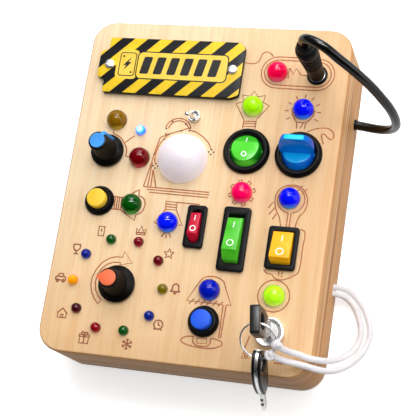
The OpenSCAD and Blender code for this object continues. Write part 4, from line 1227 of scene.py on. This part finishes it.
place(drop, pose((*at, 0), ("Z", 180)))
orange = mouldedPlastic("satinCapAbs_orange", "#FF7B4E", "#F86E40", 0.42, 0.6, 0.08, Specular_IOR_Level=0.15)
dress(drop, orange, "lower_knob_body", "orange_plastic", "lower_knob_cap")
print("knobs made")


# toggle: a plated bushing and a lever with a ball tip
x, y = toggleAt
case = addBlock("case", (x, y, 30.5), (8, 13, 11))
combine(case, addPeg("bore", toggleAt, 2.3, 33, 37, 32))
bushingOutline = [
    (2.3, 34), (3.15, 34), (3.15, 41.2), (3.0, 41.65), (2.75, 41.8), (2.45, 41.75), (2.3, 41.4), (2.3, 34),
]
bushing = spinShape("bushing", bushingOutline, toggleAt, 48)
legs = [addBlock("leg", (x, y + side * 4.6, 23.1), (0.8, 1.4, 4.2)) for side in (-1, 0, 1)]
dress(joinAll("toggleBushing", [bushing, case] + legs), nickel, "board", "bright_metal", "toggle_body")
leverOutline = [(0, -2)] + arc((0, 0), 2, -77.5, 47.5, 10) + [(0.97, 1.8), (1.05, 11.9)]
leverOutline += arc((0, 13), 1.35, -50, 69, 7) + [(0, 14.35)]
lever = spinShape("lever", leverOutline, (0, 0), 32)
lever = joinAll("toggleLever", [lever, addAxle("pin", (0, 0, 0), 0.6, 2.2)])
place(lever, pose((x, y, 40), ("X", 14)))
dress(lever, nickel, "toggle_lever_body", "bright_metal", "toggle_lever", smooth=50)

# lock: plated ring, darker barrel with a key slot
keyTurn = 8
lockOutline = [
    (0, 21), (5.94, 21), (5.94, 40), (7.3, 40), (7.3, 42.6), (6.9, 43), (6, 43), (6, 42.2), (4.86, 42.2),
    (4.86, 22), (0, 22),
]
dress(spinShape("lockRing", lockOutline, lockAt, 64, 0.15), nickel, "board", "bright_metal", "lock_body")
gunMetal = platedMetal("brushedZincCasting", "#A8A7A6", "#828180", 0.38)
barrel = spinShape("lockBarrel", [(0, 22.2), (4.8, 22.2), (4.8, 42.4), (4.6, 42.6), (0, 42.6)], lockAt, 56)
slotCut = place(addBlock("slot", (0, 0, 0), (1.8, 5.6, 20)), pose((*lockAt, 46.1), ("Z", keyTurn)))
dress(combine(barrel, slotCut), gunMetal, "key_body", "bright_metal", "lock_barrel")

# keys: a black moulded head over a steel blade
keys = {
    "shield": [
        (2.6, 0), (3.45, 1.6), (4.19, 3.3), (4.95, 5.1), (5.54, 7), (6.03, 9), (6.35, 11), (6.58, 13),
        (6.68, 15), (6.75, 18.8), (6.75, 23.2), (6.62, 23.9), (6.41, 24.4), (6.1, 24.8), (5.8, 25),
    ],
    "leaf": [
        (2.6, 0), (3.65, 2), (4.59, 4), (5.35, 6), (6.01, 8), (6.42, 10), (6.68, 12), (6.75, 14),
        (6.72, 15.4), (6.55, 16.8), (6.25, 18.2), (5.75, 19.6), (5.05, 21), (4.19, 22.3), (3.15, 23.4),
        (2.03, 24.2), (0.81, 25),
    ],
    "blade": [
        (-2.6, 1), (-2.6, -2), (-1.9, -3), (-1.9, -3.8), (-2.5, -4.7), (-1.7, -6), (-1.7, -6.8), (-2.4, -7.8),
        (-1.5, -9.2), (-1.5, -10), (-1, -12.5), (1, -12.5), (2.6, -10.4), (2.6, 1),
    ],
    "thickness": 4.5, "core": 1.5, "hole": (4.1, 18.1),
}
keyBlack = mouldedPlastic("satinBlackKeyNylon", "#141212", "#0E0D0D", 0.3, 0.6, 0.08, Specular_IOR_Level=0.28)
ringLow = (47.4, -82.217, 56.291)
keyPlaces = {  # the body, the node, where the key is, and whether its steel shows between two cheeks
    "lockKey": ("key_body", "lock_key", pose((*lockAt, 49), ("Z", keyTurn)), False),
    "spareKey": ("spare_key_body", "spare_key", pose(ringLow, ("X", -36)) @ pose((0, 0, -21.15)), True),
}


def headPlate(name, half, low, high, edge):
    sheet = cutSheet(name, half + [(-x, z) for x, z in reversed(half)], low, high)
    combine(sheet, addPeg("bowHole", (0, keys["hole"][1]), keys["hole"][0], low - 1, high + 1, 40))
    return softenEdges(sheet, edge, 3)


for name, (body, node, matrix, coreShows) in keyPlaces.items():
    half = keys["thickness"] / 2
    steel = [cutSheet("blade", keys["blade"], -0.8, 0.8)]
    softenEdges(steel[0], 0.15)
    groove = addBlock("groove", (0.4, -6, 0.8), (0.9, 16, 0.7))
    combine(steel[0], groove)
    if coreShows:
        inner = keys["core"] / 2
        cheeks = [headPlate("cheek", keys["leaf"], *side, 0.5) for side in ((-half, -inner), (inner, half))]
        steel.append(headPlate("core", keys["leaf"], -inner - 0.01, inner + 0.01, 0.1))
    else:
        cheeks = [headPlate("cheek", keys["shield"], -half, half, 0.8)]
    head = place(joinAll(name + "Head", cheeks), matrix @ sideways)
    dress(head, keyBlack, body, "key_black", node)
    blade = place(joinAll(name + "Blade", steel), matrix @ sideways)
    dress(blade, nickel, body, "bright_metal", node)

# split ring: two turns of round wire, side by side
splitRing = {"radius": 8.5, "wire": 0.8, "pitch": 0.6, "middle": (47.4, -75.01, 60.80), "lean": 32}
coil = []
for k in range(49):
    climb = min(max((k - 20) / 8, 0), 1) - 0.5
    coil.append((*around((0, 0), splitRing["radius"], 15 * k), splitRing["pitch"] * climb))
wire = newCurve("splitRing", coil, "smooth", splitRing["wire"])
wire.data.resolution_u = 4
wire.data.bevel_resolution = 3
wire = place(toMesh(wire), pose(splitRing["middle"], ("X", splitRing["lean"])))
dress(wire, nickel, "board", "bright_metal", "key_ring", smooth=60)
print("lock and keys made")


# jack and plug
jackOutline = [
    (0, 24), (4, 24), (4, 40), (5.2, 40), (5.2, 40.7), (4.9, 41), (2.8, 41), (2.8, 26), (0.9, 26), (0.9, 36),
    (0, 36),
]
dress(spinShape("jackBezel", jackOutline, jackAt, 48, 0.1), blackAbs, "board", "black_plastic", "jack")
ringOutline = [(2.8, 41), (4.15, 41), (4.15, 41.3), (3.95, 41.5), (2.8, 41.5), (2.8, 41)]
collar = spinShape("jackRing", ringOutline, jackAt, 48, 0.06)
dress(collar, nickel, "board", "bright_metal", "jack")
plugOutline = [(0, 41.55), (3.8, 41.55), (4, 41.75), (4.2, 46), (4.6, 55)]
for rib in range(5):  # ribs for the fingers
    low = 56 + 2.6 * rib
    size = 4.66 + 0.16 * rib
    plugOutline += [(size, low), (size - 0.35, low + 0.35), (size - 0.35, low + 0.95)]
    plugOutline += [(size + 0.05, low + 1.3)]
plugOutline += [(5.45, 70), (5.5, 71), (5.3, 72.6), (4.8, 73.8), (4.2, 74.5), (4.2, 76), (3.4, 78), (0, 78)]
dress(spinShape("plugBody", plugOutline, jackAt, 56, 0.15), rubberBlack, "plug_body", "cable_black", "plug")
tubeOutline = [(0, 39), (1.1, 39), (1.1, 30.3), (1.4, 30), (2.5, 30), (2.74, 30.3), (2.74, 41.7), (0, 41.7)]
dress(spinShape("plugBarrel", tubeOutline, jackAt, 40), nickel, "plug_body", "bright_metal", "plug")
sleeveOutline = [(2.34, 0), (2.72, 0), (2.72, 8.8), (2.6, 9), (2.34, 9), (2.34, 0)]
sleeve = spinShape("cableCollar", sleeveOutline, (0, 0), 40)
place(sleeve, pose((61, 49.6, 9), ("Y", 90)))
dress(sleeve, rubberBlack, "board", "cable_black", "cable_collar")
print("plug made")

for side, length, y in (("inner", 0.105, -0.0391), ("outer", 0.115, -0.036)):
    cordPiece, path, knot = strings[side]

# the parts inside keep the frame's own shapes and get their real finishes
greenSleeve = mouldedPlastic("shrunkPvcSleeve", "#3E7A3C", "#356A34", 0.3, 1.0, 0.05)
fibreglass = mouldedPlastic("etchedGreenFibreglass", "#1F7A3F", "#186634", 0.4, 0.5, 0.2)
insideFinishes = {
    "case_screws": brightZinc, "battery_box": blackAbs, "battery_cells": greenSleeve,
    "battery_contacts": nickel, "circuit_board": fibreglass, "lamp_legs": nickel,
    "yellow_button_spring": nickel, "blue_button_spring": nickel,
    "upper_switch": nickel, "lower_switch": nickel, "panel_nuts": nickel,
}
for name, finish in insideFinishes.items():
    mesh = nodes[name].data
    mesh.materials.clear()
    mesh.materials.append(finish)
print("inside parts finished")


# a white table top under a bright ceiling; the camera sees it a little lighter than the object does
studio = {
    "table": 6.0, "seen": 0.86, "felt": 0.35, "lift": 0.55,
    "low": 0.05, "high": 0.92, "mirrored": 0.2, "gloss": 0.6,
}
deselectAll()
bpy.ops.mesh.primitive_plane_add(size=studio["table"], location=(0, 0, -0.0002))
table = bpy.context.object
table.name = "whiteTable"
paper, tree, shader = newFinish("mattWhitePaper", "#FFFFFF", 0.9, Specular_IOR_Level=0.2)
ray = addNode(tree, "ShaderNodeLightPath").outputs
seen, felt = [(studio[key],) * 3 + (1,) for key in ("seen", "felt")]
tree.links.new(mixColours(tree, ray["Is Camera Ray"], felt, seen), shader.inputs["Base Color"])
# the paper looks white to the camera and in the glints, and throws little light on the wood
lift = calculate(tree, "MULTIPLY", ray["Is Camera Ray"], studio["lift"])
both = calculate(tree, "MULTIPLY_ADD", ray["Is Glossy Ray"], studio["gloss"], lift)
tree.links.new(both, shader.inputs["Emission Strength"])
shader.inputs["Emission Color"].default_value = (1, 1, 1, 1)
table.data.materials.append(paper)

world = bpy.data.worlds.new("paleStudio")
bpy.context.scene.world = world
world.use_nodes = True
tree = world.node_tree
way = addNode(tree, "ShaderNodeTexCoord").outputs["Generated"]
toward = facingFactor(tree, way, (-0.1, 0.75, 0.65))
glow = mapRange(tree, toward, -0.25, 0.9, studio["low"], studio["high"])
ray = addNode(tree, "ShaderNodeLightPath").outputs
dimmed = mapRange(tree, ray["Is Glossy Ray"], 0.0, 1.0, 1.0, studio["mirrored"])
tree.links.new(calculate(tree, "MULTIPLY", glow, dimmed), tree.nodes["Background"].inputs["Strength"])
tree.nodes["Background"].inputs["Color"].default_value = (1, 1, 1, 1)

# three long tubes above the far edge light the board, three narrow ones beside them are seen only in gloss
# and make the barred glints on the lamps, and a soft panel fills from the right
pictureAcross = Vector((0.957, 0.152, -0.247))
lamps = [
    ("nearTube", (0.188, 0.325, 0.927), 1.2, (1.2, 0.12), 3.5, True),
    ("middleTube", (0.087, 0.664, 0.742), 1.2, (1.2, 0.12), 3.5, True),
    ("farTube", (-0.033, 0.904, 0.425), 1.2, (1.2, 0.12), 3.5, True),
    ("nearGlint", (0.27, 0.23, 0.935), 1.3, (1.2, 0.09), 17, False),
    ("middleGlint", (0.2, 0.5, 0.84), 1.3, (0.7, 0.07), 8, False),
    ("farGlint", (0.13, 0.75, 0.65), 1.3, (0.5, 0.06), 7, False),
    ("sideFill", (0.93, 0.1, 0.35), 1.1, (0.9, 0.7), 4.5, True),
]
for name, way, reach, size, watts, lights in lamps:
    bpy.ops.object.light_add(type="AREA", location=Vector(way) * reach + Vector((0, 0, 0.04)))
    lamp = bpy.context.object
    lamp.name = name
    lamp.data.shape = "RECTANGLE"
    lamp.data.size, lamp.data.size_y = size
    lamp.data.energy = watts
    lamp.visible_diffuse = lights
    facing = Vector(way).normalized()
    along = pictureAcross.cross(facing).cross(facing).normalized() * -1  # so that the bars lie level
    lamp.rotation_euler = Matrix((along, facing.cross(along), facing)).transposed().to_euler()
bpy.context.scene.view_settings.view_transform = "Standard"
deselectAll()

print("all stages done")
